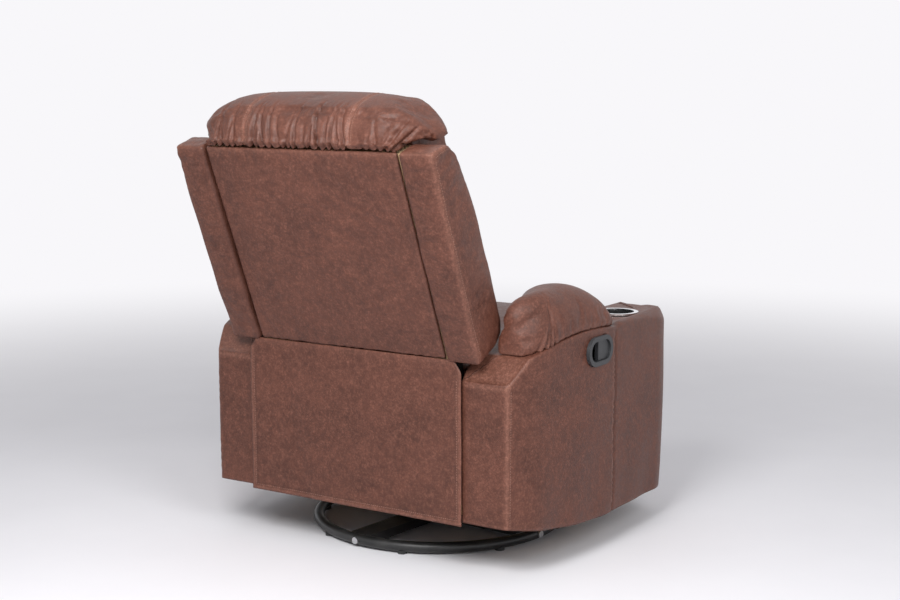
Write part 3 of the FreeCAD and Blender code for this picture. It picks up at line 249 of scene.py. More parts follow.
# %% [markdown]
# ### Thread
# The seams are topstitched in a brown thread a little paler than the cover. A fine noise stands for its
# strands.

# %% Thread
def thread_finish():
    finish = Finish("brown_thread", Specular_IOR_Level=0.3)
    strands = finish.noise(finish.place(), 900, 2)
    finish.feed(
        Base_Color=finish.mix(strands, colour(0.19, 0.095, 0.07), colour(0.30, 0.165, 0.125)),
        Roughness=0.55 + 0.2 * strands,
    )
    return finish.material


THREAD = thread_finish()


# %% [markdown]
# ### Metal, plastic and wood
# The base is powder coated: a fine orange-peel skin over steel. The mechanism is painted black too, but
# duller, and turns on zinc-plated pins. The cups and the handle are moulded plastic with a fine
# spark-eroded texture, the cup rims are polished, and the hidden frame is wood with a level grain.

# %% Powder coat and painted mechanism
def powder_coat(name, deep, pale, roughness):
    finish = Finish(name, Specular_IOR_Level=0.5)
    place = finish.place()
    peel = finish.noise(place, 700, 2)
    dust = finish.ramp(finish.noise(place, 24, 5), (0.45, 0), (0.8, 1))
    finish.feed(
        Base_Color=finish.mix(dust, deep, pale),
        Roughness=roughness + 0.12 * dust + 0.06 * peel,
        Normal=finish.bump(peel, 0.0003, 0.4),
    )
    return finish.material


# %% Bare steel, moulded plastic and bright metal
def bare_steel(name, tone, roughness):
    finish = Finish(name, Metallic=1.0)
    place = finish.place()
    drawn = finish.node("ShaderNodeMapping", {}, {"Vector": place, "Scale": (40, 900, 900)})
    lines = finish.noise(drawn, 1, 3)
    stains = finish.ramp(finish.noise(place, 60, 4), (0.5, 0), (0.85, 1))
    clean = colour(tone, tone, tone * 1.02)
    stained = colour(tone * 0.7, tone * 0.66, tone * 0.6)
    finish.feed(
        Base_Color=finish.mix(stains, clean, stained),
        Roughness=roughness + 0.14 * lines + 0.2 * stains,
        Normal=finish.bump(lines, 0.0001, 0.3),
    )
    return finish.material


def moulded_plastic(name, deep, pale, roughness):
    finish = Finish(name, Specular_IOR_Level=0.45)
    place = finish.place()
    spark = finish.noise(place, 1400, 2)
    haze = finish.noise(place, 35, 4)
    finish.feed(
        Base_Color=finish.mix(haze, deep, pale),
        Roughness=roughness + 0.1 * spark + 0.08 * haze,
        Normal=finish.bump(spark, 0.0002, 0.35),
    )
    return finish.material


# %% Wood and webbing
def frame_wood(name):
    finish = Finish(name, Specular_IOR_Level=0.3)
    place = finish.place()
    along = finish.node("ShaderNodeMapping", {}, {"Vector": place, "Scale": (6, 6, 70)})
    rings = finish.noise(along, 1.5, 6, 0.6)
    pores = finish.ramp(finish.noise(along, 9, 3), (0.55, 0), (0.75, 1))
    finish.feed(
        Base_Color=finish.mix(rings, colour(0.36, 0.22, 0.11), colour(0.62, 0.45, 0.27)),
        Roughness=0.62 + 0.15 * pores,
        Normal=finish.bump(rings - 0.4 * pores, 0.0006, 0.5),
    )
    return finish.material


def band_weave(name):
    finish = Finish(name, Specular_IOR_Level=0.2)
    place = finish.place()
    bands = {"Vector": place, "Scale": 160.0}
    ribs = finish.node("ShaderNodeTexWave", {"bands_direction": "Z"}, bands, "Fac")
    lint = finish.noise(place, 300, 3)
    finish.feed(
        Base_Color=finish.mix(ribs * 0.6 + lint * 0.4, colour(0.02, 0.02, 0.022), colour(0.11, 0.105, 0.1)),
        Roughness=0.75 + 0.15 * lint,
        Normal=finish.bump(ribs, 0.0006, 0.6),
    )
    return finish.material


# %% Finish of every CAD part
SLOT_FINISHES = {
    "base_steel": powder_coat("base_powder_coat", grey(0.012), colour(0.035, 0.034, 0.033), 0.36),
    "foot_plastic": moulded_plastic("foot_plastic", grey(0.012), grey(0.03), 0.55),
    "zinc_fastener": bare_steel("zinc_plate", 0.55, 0.28),
    "mechanism_steel": powder_coat(
        "mechanism_paint", colour(0.014, 0.014, 0.015), colour(0.05, 0.048, 0.045), 0.45,
    ),
    "spring_steel": bare_steel("spring_steel", 0.42, 0.3),
    "frame_wood": frame_wood("frame_wood"),
    "upholstery": LEATHER,
    "webbing": band_weave("black_webbing"),
    "cup_plastic": moulded_plastic("cup_plastic", grey(0.008), grey(0.018), 0.25),
    "cup_rim_metal": bare_steel("cup_rim_metal", 0.78, 0.12),
    "handle_plastic": moulded_plastic(
        "handle_plastic", colour(0.02, 0.021, 0.023), colour(0.045, 0.046, 0.05), 0.38,
    ),
    "cable_sheath": moulded_plastic("cable_sheath", grey(0.01), grey(0.02), 0.4),
}

for part in frame["record"]["subparts"]:
    mesh = frame["nodes"][part["node"]].data
    mesh.materials.clear()
    mesh.materials.append(SLOT_FINISHES[part["material_slot"]])


# %% [markdown]
# ### Floor and sky
# The floor is pale and keeps the chair's shadow. Away from the chair it fades into the same white as the
# background, as a seamless studio roll does, so there is no horizon.

# %% Pale floor that fades into the background
BACKGROUND = colour(0.94, 0.93, 0.955)
FLOOR_WIDTH = 40.0
SKY_STRENGTH = 0.38
FADE_START = 1.3
FADE_END = 4.6


def clear_selection():
    """Leaves edit mode and deselects everything, because an operator acts on all that is selected."""
    if bpy.context.object and bpy.context.object.mode != "OBJECT":
        bpy.ops.object.mode_set(mode="OBJECT")
    bpy.ops.object.select_all(action="DESELECT")


def floor_finish():
    finish = Finish("studio_floor", Specular_IOR_Level=0.15, Roughness=0.7)
    place = finish.place()
    scuffs = finish.noise(place, 3, 5)
    finish.feed(Base_Color=finish.mix(scuffs, colour(0.86, 0.85, 0.88), colour(0.92, 0.91, 0.94)))
    away = finish.node("ShaderNodeVectorMath", {"operation": "LENGTH"}, {0: place}, "Value")
    reach = {0: away, 1: FADE_START, 2: FADE_END}
    fade = finish.node("ShaderNodeMapRange", {"interpolation_type": "SMOOTHSTEP"}, reach)
    glow = finish.node("ShaderNodeEmission", {}, {"Color": BACKGROUND, "Strength": 1.0})
    blend = finish.tree.nodes.new("ShaderNodeMixShader")
    finish.join(blend.inputs[0], fade)
    finish.tree.links.new(finish.shader.outputs[0], blend.inputs[1])
    finish.join(blend.inputs[2], glow)
    finish.tree.links.new(blend.outputs[0], finish.tree.nodes["Material Output"].inputs[0])
    return finish.material


clear_selection()
bpy.ops.mesh.primitive_plane_add(size=FLOOR_WIDTH)
floor = bpy.context.object
floor.name = "studio_floor"
floor.data.materials.append(floor_finish())


# %% Even sky, white where it is seen
def paint_sky():
    world = bpy.data.worlds.new("studio_sky")
    world.use_nodes = True
    scene.world = world
    nodes, links = world.node_tree.nodes, world.node_tree.links
    path = nodes.new("ShaderNodeLightPath")
    seen = path.outputs["Is Camera Ray"]
    for ray in ("Is Glossy Ray", "Is Transmission Ray"):
        either = nodes.new("ShaderNodeMath")
        either.operation = "MAXIMUM"
        links.new(seen, either.inputs[0])
        links.new(path.outputs[ray], either.inputs[1])
        seen = either.outputs[0]
    tint = nodes.new("ShaderNodeMix")
    tint.data_type = "RGBA"
    links.new(seen, tint.inputs[MIX_SHARE])
    tint.inputs[MIX_FIRST].default_value = colour(SKY_STRENGTH, SKY_STRENGTH, SKY_STRENGTH * 1.03)
    tint.inputs[MIX_SECOND].default_value = BACKGROUND
    links.new(tint.outputs[MIX_RESULT], nodes["Background"].inputs["Color"])


paint_sky()


# %% [markdown]
# ## Working on soft pieces
# Each cushion starts from the CAD solid that holds its place. A copy is merged, remeshed into even
# squares of 5 or 6 mm and blown up as cloth, while the points along its sewn edges are held. Cloth that
# swells between held seams puckers by itself, which is hard to draw by hand. A cap keeps every point near
# where it began.

# %% Helpers for points and modifiers
def select(piece):
    clear_selection()
    piece.select_set(True)
    bpy.context.view_layer.objects.active = piece


def read_triples(items, name):
    flat = np.zeros(len(items) * 3)
    items.foreach_get(name, flat)
    return flat.reshape(-1, 3)


def read_points(piece):
    return read_triples(piece.data.vertices, "co")


def write_points(piece, places):
    piece.data.vertices.foreach_set("co", np.ascontiguousarray(places).ravel())
    piece.data.update()


def read_normals(piece):
    return read_triples(piece.data.vertex_normals, "vector")


def paint(piece, name, numbers):
    """Keeps one number for each point, which a finish can read."""
    attribute = piece.data.attributes.get(name) or piece.data.attributes.new(name, "FLOAT", "POINT")
    attribute.data.foreach_set("value", np.clip(numbers, 0, 1).astype(np.float32))


def apply_modifier(piece, kind, **settings):
    select(piece)
    modifier = piece.modifiers.new(kind.lower(), kind)
    for setting, value in settings.items():
        setattr(modifier, setting, value)
    bpy.ops.object.modifier_apply(modifier=modifier.name)


def edit_all():
    """Edit mode on the active piece, with all of it selected."""
    bpy.ops.object.mode_set(mode="EDIT")
    bpy.ops.mesh.select_all(action="SELECT")


def end_edit():
    bpy.ops.object.mode_set(mode="OBJECT")


def remesh(piece, voxel):
    """Even squares over the active piece."""
    piece.data.remesh_voxel_size = voxel
    bpy.ops.object.voxel_remesh()


def bell(distance, width):
    """1 on a line, falling smoothly to 0 beside it."""
    return np.exp(-(distance / width) ** 2)


def step_between(value, low, high):
    """0 below low, 1 above high and smooth between them."""
    share = np.clip((value - low) / (high - low), 0, 1)
    return share * share * (3 - 2 * share)


# %% A remeshed copy of a CAD cushion
FINE_VOXEL = 0.005
COARSE_VOXEL = 0.006
CAD_MERGE = 0.00001


def soft_copy(node, name, voxel):
    piece = bpy.data.objects.new(name, frame["nodes"][node].data.copy())
    scene.collection.objects.link(piece)
    select(piece)
    edit_all()
    bpy.ops.mesh.remove_doubles(threshold=CAD_MERGE)
    end_edit()
    remesh(piece, voxel)
    return piece


# %% Cloth that swells between its seams
CLOTH_FRAMES = 12


def plump(piece, pressure, cap, held, slack=0.0):
    """Blows a piece up as cloth. held is 1 at points that stay; slack makes the cloth a little too large."""
    before = read_points(piece)
    group = piece.vertex_groups.new(name="held")
    for level in np.unique(np.round(held, 1)):
        group.add(np.flatnonzero(np.round(held, 1) == level).tolist(), float(level), "REPLACE")
    select(piece)
    cloth = piece.modifiers.new("cloth", "CLOTH")
    cloth.settings.quality = 3
    cloth.settings.use_pressure = True
    cloth.settings.uniform_pressure_force = pressure
    cloth.settings.effector_weights.gravity = 0
    cloth.settings.vertex_group_mass = group.name
    cloth.settings.shrink_min = -slack
    cloth.point_cache.frame_start = 1
    cloth.point_cache.frame_end = CLOTH_FRAMES
    for moment in range(1, CLOTH_FRAMES + 1):
        scene.frame_set(moment)
    bpy.ops.object.modifier_apply(modifier=cloth.name)
    scene.frame_set(1)
    piece.vertex_groups.clear()
    move = read_points(piece) - before
    far = np.linalg.norm(move, axis=1, keepdims=True)
    write_points(piece, before + move * np.minimum(1, cap / np.maximum(far, 1e-9)))
    swell = round(float(far.max()) * 1000, 1)
    print(piece.name, "swelled by up to", swell, "mm, capped at", round(cap * 1000, 1))


# %% Finishing a soft piece
def finish_soft(piece, body, nodes):
    """Shades a padded piece, gives it the leather, hides the CAD parts that it stands for and prints its
    size.
    """
    select(piece)
    bpy.ops.object.shade_smooth()
    piece.data.materials.clear()
    piece.data.materials.append(LEATHER)
    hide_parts(*nodes)
    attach(piece, body)
    print(piece.name, len(piece.data.polygons), "faces")


# %% [markdown]
# ## The back
# The back leans by 22 degrees, so its pieces are easier to think about upright. Two small functions turn
# a place in the chair into back coordinates: x across, v out of the back's rear face, and u up from its
# lower seam.

# %% Back coordinates
BACK_SEAM = np.array((0.3526, 0.4735))
BACK_TILT = math.radians(22.18)
BACK_LENGTH = 0.478


def to_back(places):
    y, z = places[:, 1] - BACK_SEAM[0], places[:, 2] - BACK_SEAM[1]
    v = y * math.cos(BACK_TILT) - z * math.sin(BACK_TILT)
    u = y * math.sin(BACK_TILT) + z * math.cos(BACK_TILT)
    return np.stack((places[:, 0], v, u), axis=1)


def from_back(locals_):
    v, u = locals_[:, 1], locals_[:, 2]
    y = v * math.cos(BACK_TILT) + u * math.sin(BACK_TILT) + BACK_SEAM[0]
    z = u * math.cos(BACK_TILT) - v * math.sin(BACK_TILT) + BACK_SEAM[1]
    return np.stack((locals_[:, 0], y, z), axis=1)


# %% [markdown]
# ### Headrest pillow
# The pillow rolls over the top of the back. At the rear it is sewn into the panel's top seam, where the
# extra cloth is gathered in many short upright folds, and two seams cross it from front to back. After
# the cloth has swelled, the folds are pressed in one by one: each is a narrow valley with a soft ridge
# beside it that fades upwards.

# %% Folds that run up from a seam
def gather(along, up, folds):
    """Height of gathered cloth. along and up are distances on it.
    A fold is its place, lean, reach, depth and width."""
    height = np.zeros_like(along)
    for place, lean, reach, depth, width in folds:
        across = along - place - lean * up
        fade = np.exp(-(np.maximum(up, 0) / reach) ** 2)
        height += depth * fade * (0.45 * bell(across, 2.6 * width) - bell(across, width))
    return height


def spread_folds(seed, low, high, step, reach, depth):
    """A row of folds between two places, each a little different from its neighbours."""
    draw = np.random.default_rng(seed)
    folds = []
    place = low
    while place < high:
        share = draw.uniform(0.55, 1.25)
        lean = draw.uniform(-0.28, 0.28)
        width = draw.uniform(0.0035, 0.0055)
        folds.append((place, lean, reach * share, depth * share, width))
        place += step * draw.uniform(0.6, 1.5)
    return folds


# %% Pillow
HEADREST_SEAMS = (-0.137, 0.137)
CORNER_FOLDS = [(-0.222, -0.8, 0.060, 0.0085, 0.0060), (-0.238, -1.3, 0.050, 0.0070, 0.0060)]


def headrest_pillow():
    pillow = soft_copy("headrest_cushion", "headrest_pillow", FINE_VOXEL)
    apply_modifier(pillow, "SMOOTH", factor=0.5, iterations=6)
    spots = to_back(read_points(pillow))
    sewn = (spots[:, 2] < BACK_LENGTH + 0.016) & (spots[:, 1] > -0.07)
    inside = spots[:, 1] > -0.064
    inside &= spots[:, 2] < BACK_LENGTH + 0.01
    plump(pillow, 3.0, 0.005, (sewn | inside).astype(float), 0.03)
    apply_modifier(pillow, "SUBSURF", levels=1, render_levels=1)
    places, normals = read_points(pillow), read_normals(pillow)
    spots = to_back(places)
    ends = step_between(np.abs(spots[:, 0]), 0.21, 0.30)
    spots[:, 2] -= ends * (0.009 + 0.015 * step_between(-spots[:, 1], 0.06, 0.095))
    spots[:, 0] *= 1 - 0.03 * ends
    places = from_back(spots)
    across, rise = spots[:, 0], spots[:, 2] - BACK_LENGTH
    rear = step_between(spots[:, 1], -0.085, -0.045)
    folds = spread_folds(7, -0.128, 0.128, 0.017, 0.070, 0.0125)
    folds += spread_folds(11, 0.145, 0.230, 0.015, 0.048, 0.0080)
    folds += spread_folds(5, -0.205, -0.150, 0.024, 0.045, 0.0060)
    folds += CORNER_FOLDS
    height = gather(across, rise, folds) * rear
    seam = sum(bell(across - place, 0.0035) for place in HEADREST_SEAMS)
    lower = bell(rise - 0.004, 0.007) * step_between(spots[:, 1], -0.03, -0.01)
    height -= 0.0026 * seam + 0.004 * lower
    write_points(pillow, places + normals * height[:, None])
    seam_wear = sum(bell(across - place, 0.009) for place in HEADREST_SEAMS)
    paint(pillow, "wear", 0.5 * seam_wear + 35 * np.maximum(height - 0.001, 0))
    # Painted shade: the fold valleys are darkened, where shade falls.
    paint(pillow, "crease", 40 * np.maximum(-height - 0.002, 0))
    finish_soft(pillow, "back", ["headrest_cushion"])
    return pillow


headrest = headrest_pillow()


# %% [markdown]
# ### Topstitching
# A row of stitches is one stitch copied many times. One small bead is modelled, squeezed long and flat,
# and placed along a line that follows the cover, each copy turned to the line and sunk by about a third
# of its height.

# %% One stitch, copied along a line
STITCH_LENGTH = 0.0040
STITCH_PITCH = 0.0056
STITCH_WIDTH = 0.0013
STITCH_HEIGHT = 0.0009


def model_stitch():
    """Points and faces of one stitch: a bead that is long in X and flat in Z."""
    clear_selection()
    bpy.ops.mesh.primitive_uv_sphere_add(segments=6, ring_count=4, radius=0.5)
    bead = bpy.context.object
    edit_all()
    bpy.ops.transform.resize(value=(STITCH_LENGTH, STITCH_WIDTH, STITCH_HEIGHT))
    end_edit()
    places = read_points(bead)
    faces = [tuple(face.vertices) for face in bead.data.polygons]
    bpy.data.objects.remove(bead)
    return places, faces


STITCH_POINTS, STITCH_FACES = model_stitch()


def even_steps(line, pitch):
    """Points at even steps along a line of points, with the directions there."""
    line = np.asarray(line, float)
    runs = np.linalg.norm(np.diff(line, axis=0), axis=1)
    reach = np.concatenate(([0], np.cumsum(runs)))
    places = np.arange(pitch / 2, reach[-1], pitch)

    def spots_at(steps):
        return np.stack([np.interp(steps, reach, line[:, axis]) for axis in range(3)], axis=1)

    spots = spots_at(places)
    ways = spots_at(places + pitch / 4) - spots
    return spots, ways / np.maximum(np.linalg.norm(ways, axis=1, keepdims=True), 1e-9)


def stitch_rows(name, cover, lines, body):
    """Sews the lines onto a cover, as one piece that moves with a body."""
    places, faces = [], []
    for line in lines:
        for spot, way in zip(*even_steps(line, STITCH_PITCH)):
            found, place, normal, _ = cover.closest_point_on_mesh(Vector(spot))
            if not found:
                continue
            up = np.array(normal)
            side = np.cross(up, way)
            side /= max(np.linalg.norm(side), 1e-9)
            frame_axes = np.stack((np.cross(side, up), side, up))
            start = len(places) * len(STITCH_POINTS)
            places.append(STITCH_POINTS @ frame_axes + np.array(place) + up * STITCH_HEIGHT * 0.15)
            faces += [tuple(index + start for index in face) for face in STITCH_FACES]
    mesh = bpy.data.meshes.new(name)
    mesh.from_pydata(np.concatenate(places).tolist(), [], faces)
    rows = bpy.data.objects.new(name, mesh)
    scene.collection.objects.link(rows)
    select(rows)
    bpy.ops.object.shade_smooth()
    mesh.materials.append(THREAD)
    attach(rows, body)
    print(name, len(places), "stitches")
    return rows


def back_line(*spots):
    """A line through places in back coordinates."""
    return from_back(np.array(spots, float))


headrest_lines = []
for seam in HEADREST_SEAMS:
    for aside in (-0.006, 0.006):
        x = seam + aside
        headrest_lines.append(back_line(
            (x, 0.004, 0.488), (x, 0.002, 0.505), (x, -0.012, 0.525), (x, -0.04, 0.545), (x, -0.08, 0.556),
            (x, -0.12, 0.555), (x, -0.16, 0.54), (x, -0.19, 0.505), (x, -0.195, 0.46), (x, -0.18, 0.41),
        ))
stitch_rows("headrest_stitches", headrest, headrest_lines, "back")


# %% [markdown]
# ### Side wings
# Each wing is a flat-sided bolster beside the back: a side profile with a square top, a soft front and a
# bottom that rises towards the front. A circle is moved onto that profile, extruded across the wing's
# width and bevelled. Cloth then fills it a little between its sewn edges, which stay crisp.

# %% Wing
WING_INNER = 0.2565
WING_OUTER = 0.3370
WING_PROFILE = (
    (-0.006, 0.003), (0.120, 0.008), (0.300, 0.008), (0.478, 0.004), (0.4785, -0.020), (0.476, -0.054),
    (0.460, -0.072), (0.434, -0.085), (0.366, -0.100), (0.273, -0.107), (0.186, -0.111), (0.091, -0.110),
    (0.040, -0.108), (0.014, -0.100), (0.002, -0.072), (-0.003, -0.035),
)
WING_BEVEL = 0.0065
WING_CROWN = 0.476


def wing(side, name):
    """A wing on the +X side (side 1) or the -X side (side -1)."""
    clear_selection()
    bpy.ops.mesh.primitive_circle_add(vertices=len(WING_PROFILE), fill_type="NGON")
    piece = bpy.context.object
    piece.name = f"{name}_bolster"
    profile = np.array([(side * WING_INNER, v, u) for u, v in WING_PROFILE])
    write_points(piece, from_back(profile))
    edit_all()
    width = side * (WING_OUTER - WING_INNER)
    bpy.ops.mesh.extrude_region_move(TRANSFORM_OT_translate={"value": (width, 0, 0)})
    bpy.ops.mesh.select_all(action="SELECT")
    bpy.ops.mesh.normals_make_consistent(inside=False)
    bpy.ops.mesh.bevel(offset=WING_BEVEL, segments=3, affect="EDGES", clamp_overlap=True)
    end_edit()
    remesh(piece, FINE_VOXEL)
    spots = to_back(read_points(piece))
    out = np.abs(spots[:, 0])
    edge_in, edge_out = bell(out - WING_INNER, 0.010), bell(out - WING_OUTER, 0.010)
    rear, crown = bell(spots[:, 1] - 0.006, 0.012), bell(spots[:, 2] - WING_CROWN, 0.010)
    held = np.maximum(np.maximum(edge_in, edge_out * np.maximum(rear, crown)), rear * crown)
    plump(piece, 1.2, 0.004, (held > 0.3).astype(float), 0.01)
    apply_modifier(piece, "SMOOTH", factor=0.5, iterations=3)
    places, normals = read_points(piece), read_normals(piece)
    spots = to_back(places)
    out, v, u = np.abs(spots[:, 0]), spots[:, 1], spots[:, 2]
    ripple = 0.0011 * np.sin(41 * u + 3 * np.sin(17 * v + side)) * np.sin(33 * v + 9 * u + side)
    pulls = 0.0013 * np.sin(u * 210 + 40 * v) * bell(u - 0.47, 0.05) * step_between(out, 0.27, 0.3)
    seam = bell(out - WING_OUTER, 0.006) * bell(v - 0.004, 0.007)
    write_points(piece, places + normals * (ripple + pulls - 0.0012 * seam)[:, None])
    edges = np.maximum(bell(v - 0.004, 0.006), bell(u - WING_CROWN, 0.007)) * bell(out - WING_OUTER, 0.006)
    top_wear = 0.25 * bell(u - WING_CROWN, 0.008)
    rear_wear = 0.2 * bell(v + 0.004, 0.008) * (out > 0.32)
    paint(piece, "wear", 0.5 * edges + top_wear + rear_wear)
    # Painted shade: a dark band along the inner edge near the rear, in the slot beside the panel.
    paint(piece, "crease", 0.6 * bell(out - WING_INNER, 0.004) * bell(v - 0.004, 0.02))
    finish_soft(piece, "back", [name])
    outer = side * (WING_OUTER + 0.002)
    lines = [back_line((outer, -0.006, 0.012), (outer, -0.004, 0.3), (outer, -0.006, 0.462))]
    lines.append(back_line((outer, -0.008, 0.466), (outer, -0.030, 0.467), (outer, -0.050, 0.464)))
    stitch_rows(f"{name}_stitches", piece, lines, "back")


wing(1, "wing_left")
wing(-1, "wing_right")


# %% [markdown]
# ### Back panel
# The outside back is one flat panel over the frame, drawn into a dark slot beside each wing and into the
# pillow's seam at the top. A thin box is bevelled, remeshed and filled slightly, and a few long soft
# pulls cross it.

# %% Panel
PANEL_HALF = 0.2505
PANEL_DEPTH = 0.0095
PANEL_BEVEL = 0.0035


def panel_rim(x, u):
    """Distance from the panel's edge."""
    return np.minimum(PANEL_HALF - np.abs(x), np.minimum(u, BACK_LENGTH - u))


def panel():
    clear_selection()
    bpy.ops.mesh.primitive_cube_add(size=1)
    piece = bpy.context.object
    piece.name = "back_outside_panel"
    corners = read_points(piece)
    upright = np.stack((
        corners[:, 0] * 2 * PANEL_HALF,
        (corners[:, 1] - 0.5) * PANEL_DEPTH,
        (corners[:, 2] + 0.5) * (BACK_LENGTH - 0.001),
    ), axis=1)
    write_points(piece, from_back(upright))
    edit_all()
    bpy.ops.mesh.bevel(offset=PANEL_BEVEL, segments=2, affect="EDGES")
    end_edit()
    remesh(piece, FINE_VOXEL)
    x, v, u = to_back(read_points(piece)).T
    plump(piece, 0.6, 0.004, ((panel_rim(x, u) < 0.008) | (v < -0.006)).astype(float), 0.004)
    apply_modifier(piece, "SMOOTH", factor=0.5, iterations=4)
    places, normals = read_points(piece), read_normals(piece)
    x, v, u = to_back(places).T
    rim = panel_rim(x, u)
    inner = step_between(rim, 0.0, 0.05)
    pulls = 0.0012 * np.sin(14 * x + 19 * u + 2 * np.sin(11 * u)) * inner
    puckers = 0.0010 * np.sin(230 * x + 5 * np.sin(40 * x)) * bell(u - BACK_LENGTH, 0.030)
    puckers += 0.0008 * np.sin(150 * x + 4 * np.sin(31 * x)) * bell(u, 0.022)
    outward = step_between(v, -0.006, -0.002)
    write_points(piece, places + normals * ((pulls + puckers) * outward)[:, None])
    paint(piece, "wear", 0.28 * bell(u - BACK_LENGTH, 0.012) + 0.22 * bell(np.abs(x) - PANEL_HALF, 0.006))
    # Painted shade: a thin dark line round the panel's edge, where it is drawn into the slots.
    paint(piece, "crease", 0.5 * bell(rim, 0.0025))
    finish_soft(piece, "back", ["back_panel"])


panel()


# %% [markdown]
# ## The arms
# The cover of an arm is one skin that is wrapped round a plywood frame: a flat back with a sloping
# shoulder, a bowed side with one upright seam, a rounded front and a deck on top that carries the pad and
# the cup. A plain grid is the easiest thing to wrap: its columns go round the arm and its rows climb from
# the hem, over the top edge, to the middle of the deck. Its first and last columns meet and are merged,
# and a Solidify modifier gives it thickness.

# %% Outline of the arm from above and heights along it
ARM_INNER = 0.278
ARM_OUTER = 0.455
ARM_BACK = 0.342
ARM_FRONT = -0.398
ARM_BACK_OUTER = 0.396
FRONT_RADIUS = 0.1392
STRAIGHT_Y = -0.030
SHOULDER = (0.434, 0.240)
CHAMFER_Y = 0.290
CHAMFER_LOW = 0.424
PAD_FRONT = -0.045
DECK = {CHAMFER_Y: 0.481, 0.1225: 0.514, PAD_FRONT: 0.507}
HEM_LOW = 0.080
HEM_RISE = 0.040
INNER_HEM = 0.352
INNER_FRONT_HEM = 0.084
SIDE_SEAM_Y = -0.035
COLUMN_STEP = 0.005


def deck_height(y):
    """Height of the deck: level at the front, arched under the pad, sloping down at the rear."""
    arch = sum(
        height * np.prod([(y - other) / (place - other) for other in DECK if other != place], axis=0)
        for place, height in DECK.items()
    )
    slope = DECK[CHAMFER_Y] - (y - CHAMFER_Y) * (DECK[CHAMFER_Y] - CHAMFER_LOW) / (ARM_BACK - CHAMFER_Y)
    return np.where(y < PAD_FRONT, DECK[PAD_FRONT], np.where(y > CHAMFER_Y, slope, arch))


def hem_height(y):
    """Height of the outer hem, which rises towards the rear."""
    return HEM_LOW + HEM_RISE * (np.maximum(y - STRAIGHT_Y, 0) / (ARM_BACK - STRAIGHT_Y)) ** 2


def side_x(y):
    """How far out the bowed side is."""
    bow = ARM_OUTER - (ARM_OUTER - SHOULDER[0]) * ((y - STRAIGHT_Y) / (SHOULDER[1] - STRAIGHT_Y)) ** 2
    back = y - SHOULDER[1]
    slope = 2 * (ARM_OUTER - SHOULDER[0]) / (SHOULDER[1] - STRAIGHT_Y)
    run = ARM_BACK - SHOULDER[1]
    turn = (SHOULDER[0] - ARM_BACK_OUTER - slope * run) / run ** 2
    return np.where(y < SHOULDER[1], bow, SHOULDER[0] - slope * back - turn * back ** 2)


def soft_corner(before, corner, after, count=5):
    """Points round a corner, on a curve that is pulled towards it."""
    share = np.linspace(0, 1, count)[:, None]
    before, corner, after = (np.array(spot) for spot in (before, corner, after))
    return (1 - share) ** 2 * before + 2 * share * (1 - share) * corner + share ** 2 * after


def arm_outline():
    """Points at even steps round the arm on +X, from its inner back corner round the outside
    and back along its inner face."""
    side_y = np.linspace(ARM_BACK - 0.007, STRAIGHT_Y, 40)
    side_start = (side_x(side_y[0]), side_y[0])
    turn = np.linspace(0, math.pi / 2, 24)
    centre = np.array((ARM_OUTER - FRONT_RADIUS, ARM_FRONT + FRONT_RADIUS))
    front = centre + FRONT_RADIUS * np.stack((np.cos(turn), -np.sin(turn)), axis=1)
    line = np.concatenate((
        [(ARM_INNER + 0.006, ARM_BACK)],
        soft_corner((ARM_BACK_OUTER - 0.008, ARM_BACK), (ARM_BACK_OUTER, ARM_BACK), side_start),
        np.stack((side_x(side_y), side_y), axis=1)[1:],
        front,
        soft_corner((ARM_INNER + 0.012, ARM_FRONT), (ARM_INNER, ARM_FRONT), (ARM_INNER, ARM_FRONT + 0.012)),
        soft_corner((ARM_INNER, ARM_BACK - 0.006), (ARM_INNER, ARM_BACK), (ARM_INNER + 0.006, ARM_BACK)),
    ))
    spots, ways = even_steps(np.pad(line, ((0, 0), (0, 1))), COLUMN_STEP)
    spots[-1] = spots[0]
    ways[-1] = ways[0]
    return spots[:, :2], np.stack((-ways[:, 1], ways[:, 0]), axis=1)


# %% Rows from the hem to the middle of the deck
WALL_ROWS = 70
EDGE_ROWS = 6
DECK_ROWS = 12
SPINE_X = 0.366


def arm_rows():
    spots, outward = arm_outline()
    x, y = spots.T
    inside = (np.abs(x - ARM_INNER) < 0.002) & (y > ARM_FRONT + 0.008) & (y < ARM_BACK - 0.004)
    round_edge = 0.006 + 0.020 * step_between(-y, 0.19, 0.34) * ~inside + 0.006 * inside
    inset_y = y - round_edge * outward[:, 1]
    top = deck_height(inset_y)
    inner_hem = INNER_HEM - (INNER_HEM - INNER_FRONT_HEM) * step_between(-y, 0.285, 0.315)
    hem = np.where(inside, inner_hem, hem_height(y))
    rows = []

    def row(inset, height):
        ring = spots - outward * inset[:, None]
        rows.append(np.column_stack((ring, height)))

    for share in np.linspace(0, 1, WALL_ROWS):
        height = hem + (top - round_edge - hem) * share
        taper = np.clip((0.26 - height) / 0.18, 0, 1) ** 2 * ~inside
        row(taper * (0.004 * np.abs(outward[:, 0]) + 0.0065 * np.maximum(-outward[:, 1], 0)), height)
    for turn in np.linspace(0, math.pi / 2, EDGE_ROWS + 1)[1:]:
        row(round_edge * (1 - math.cos(turn)), top - round_edge * (1 - math.sin(turn)))
    rim = rows[-1][:, :2]
    spine_y = np.clip(rim[:, 1], ARM_FRONT + 0.09, ARM_BACK - 0.07)
    spine = np.column_stack((np.full(len(rim), SPINE_X), spine_y))
    for share in np.linspace(0, 1, DECK_ROWS + 1)[1:]:
        spread = rim + (spine - rim) * share
        rows.append(np.column_stack((spread, deck_height(spread[:, 1]))))
    return np.array(rows)


# %% Wrapping the grid
GRID_MERGE = 0.0004


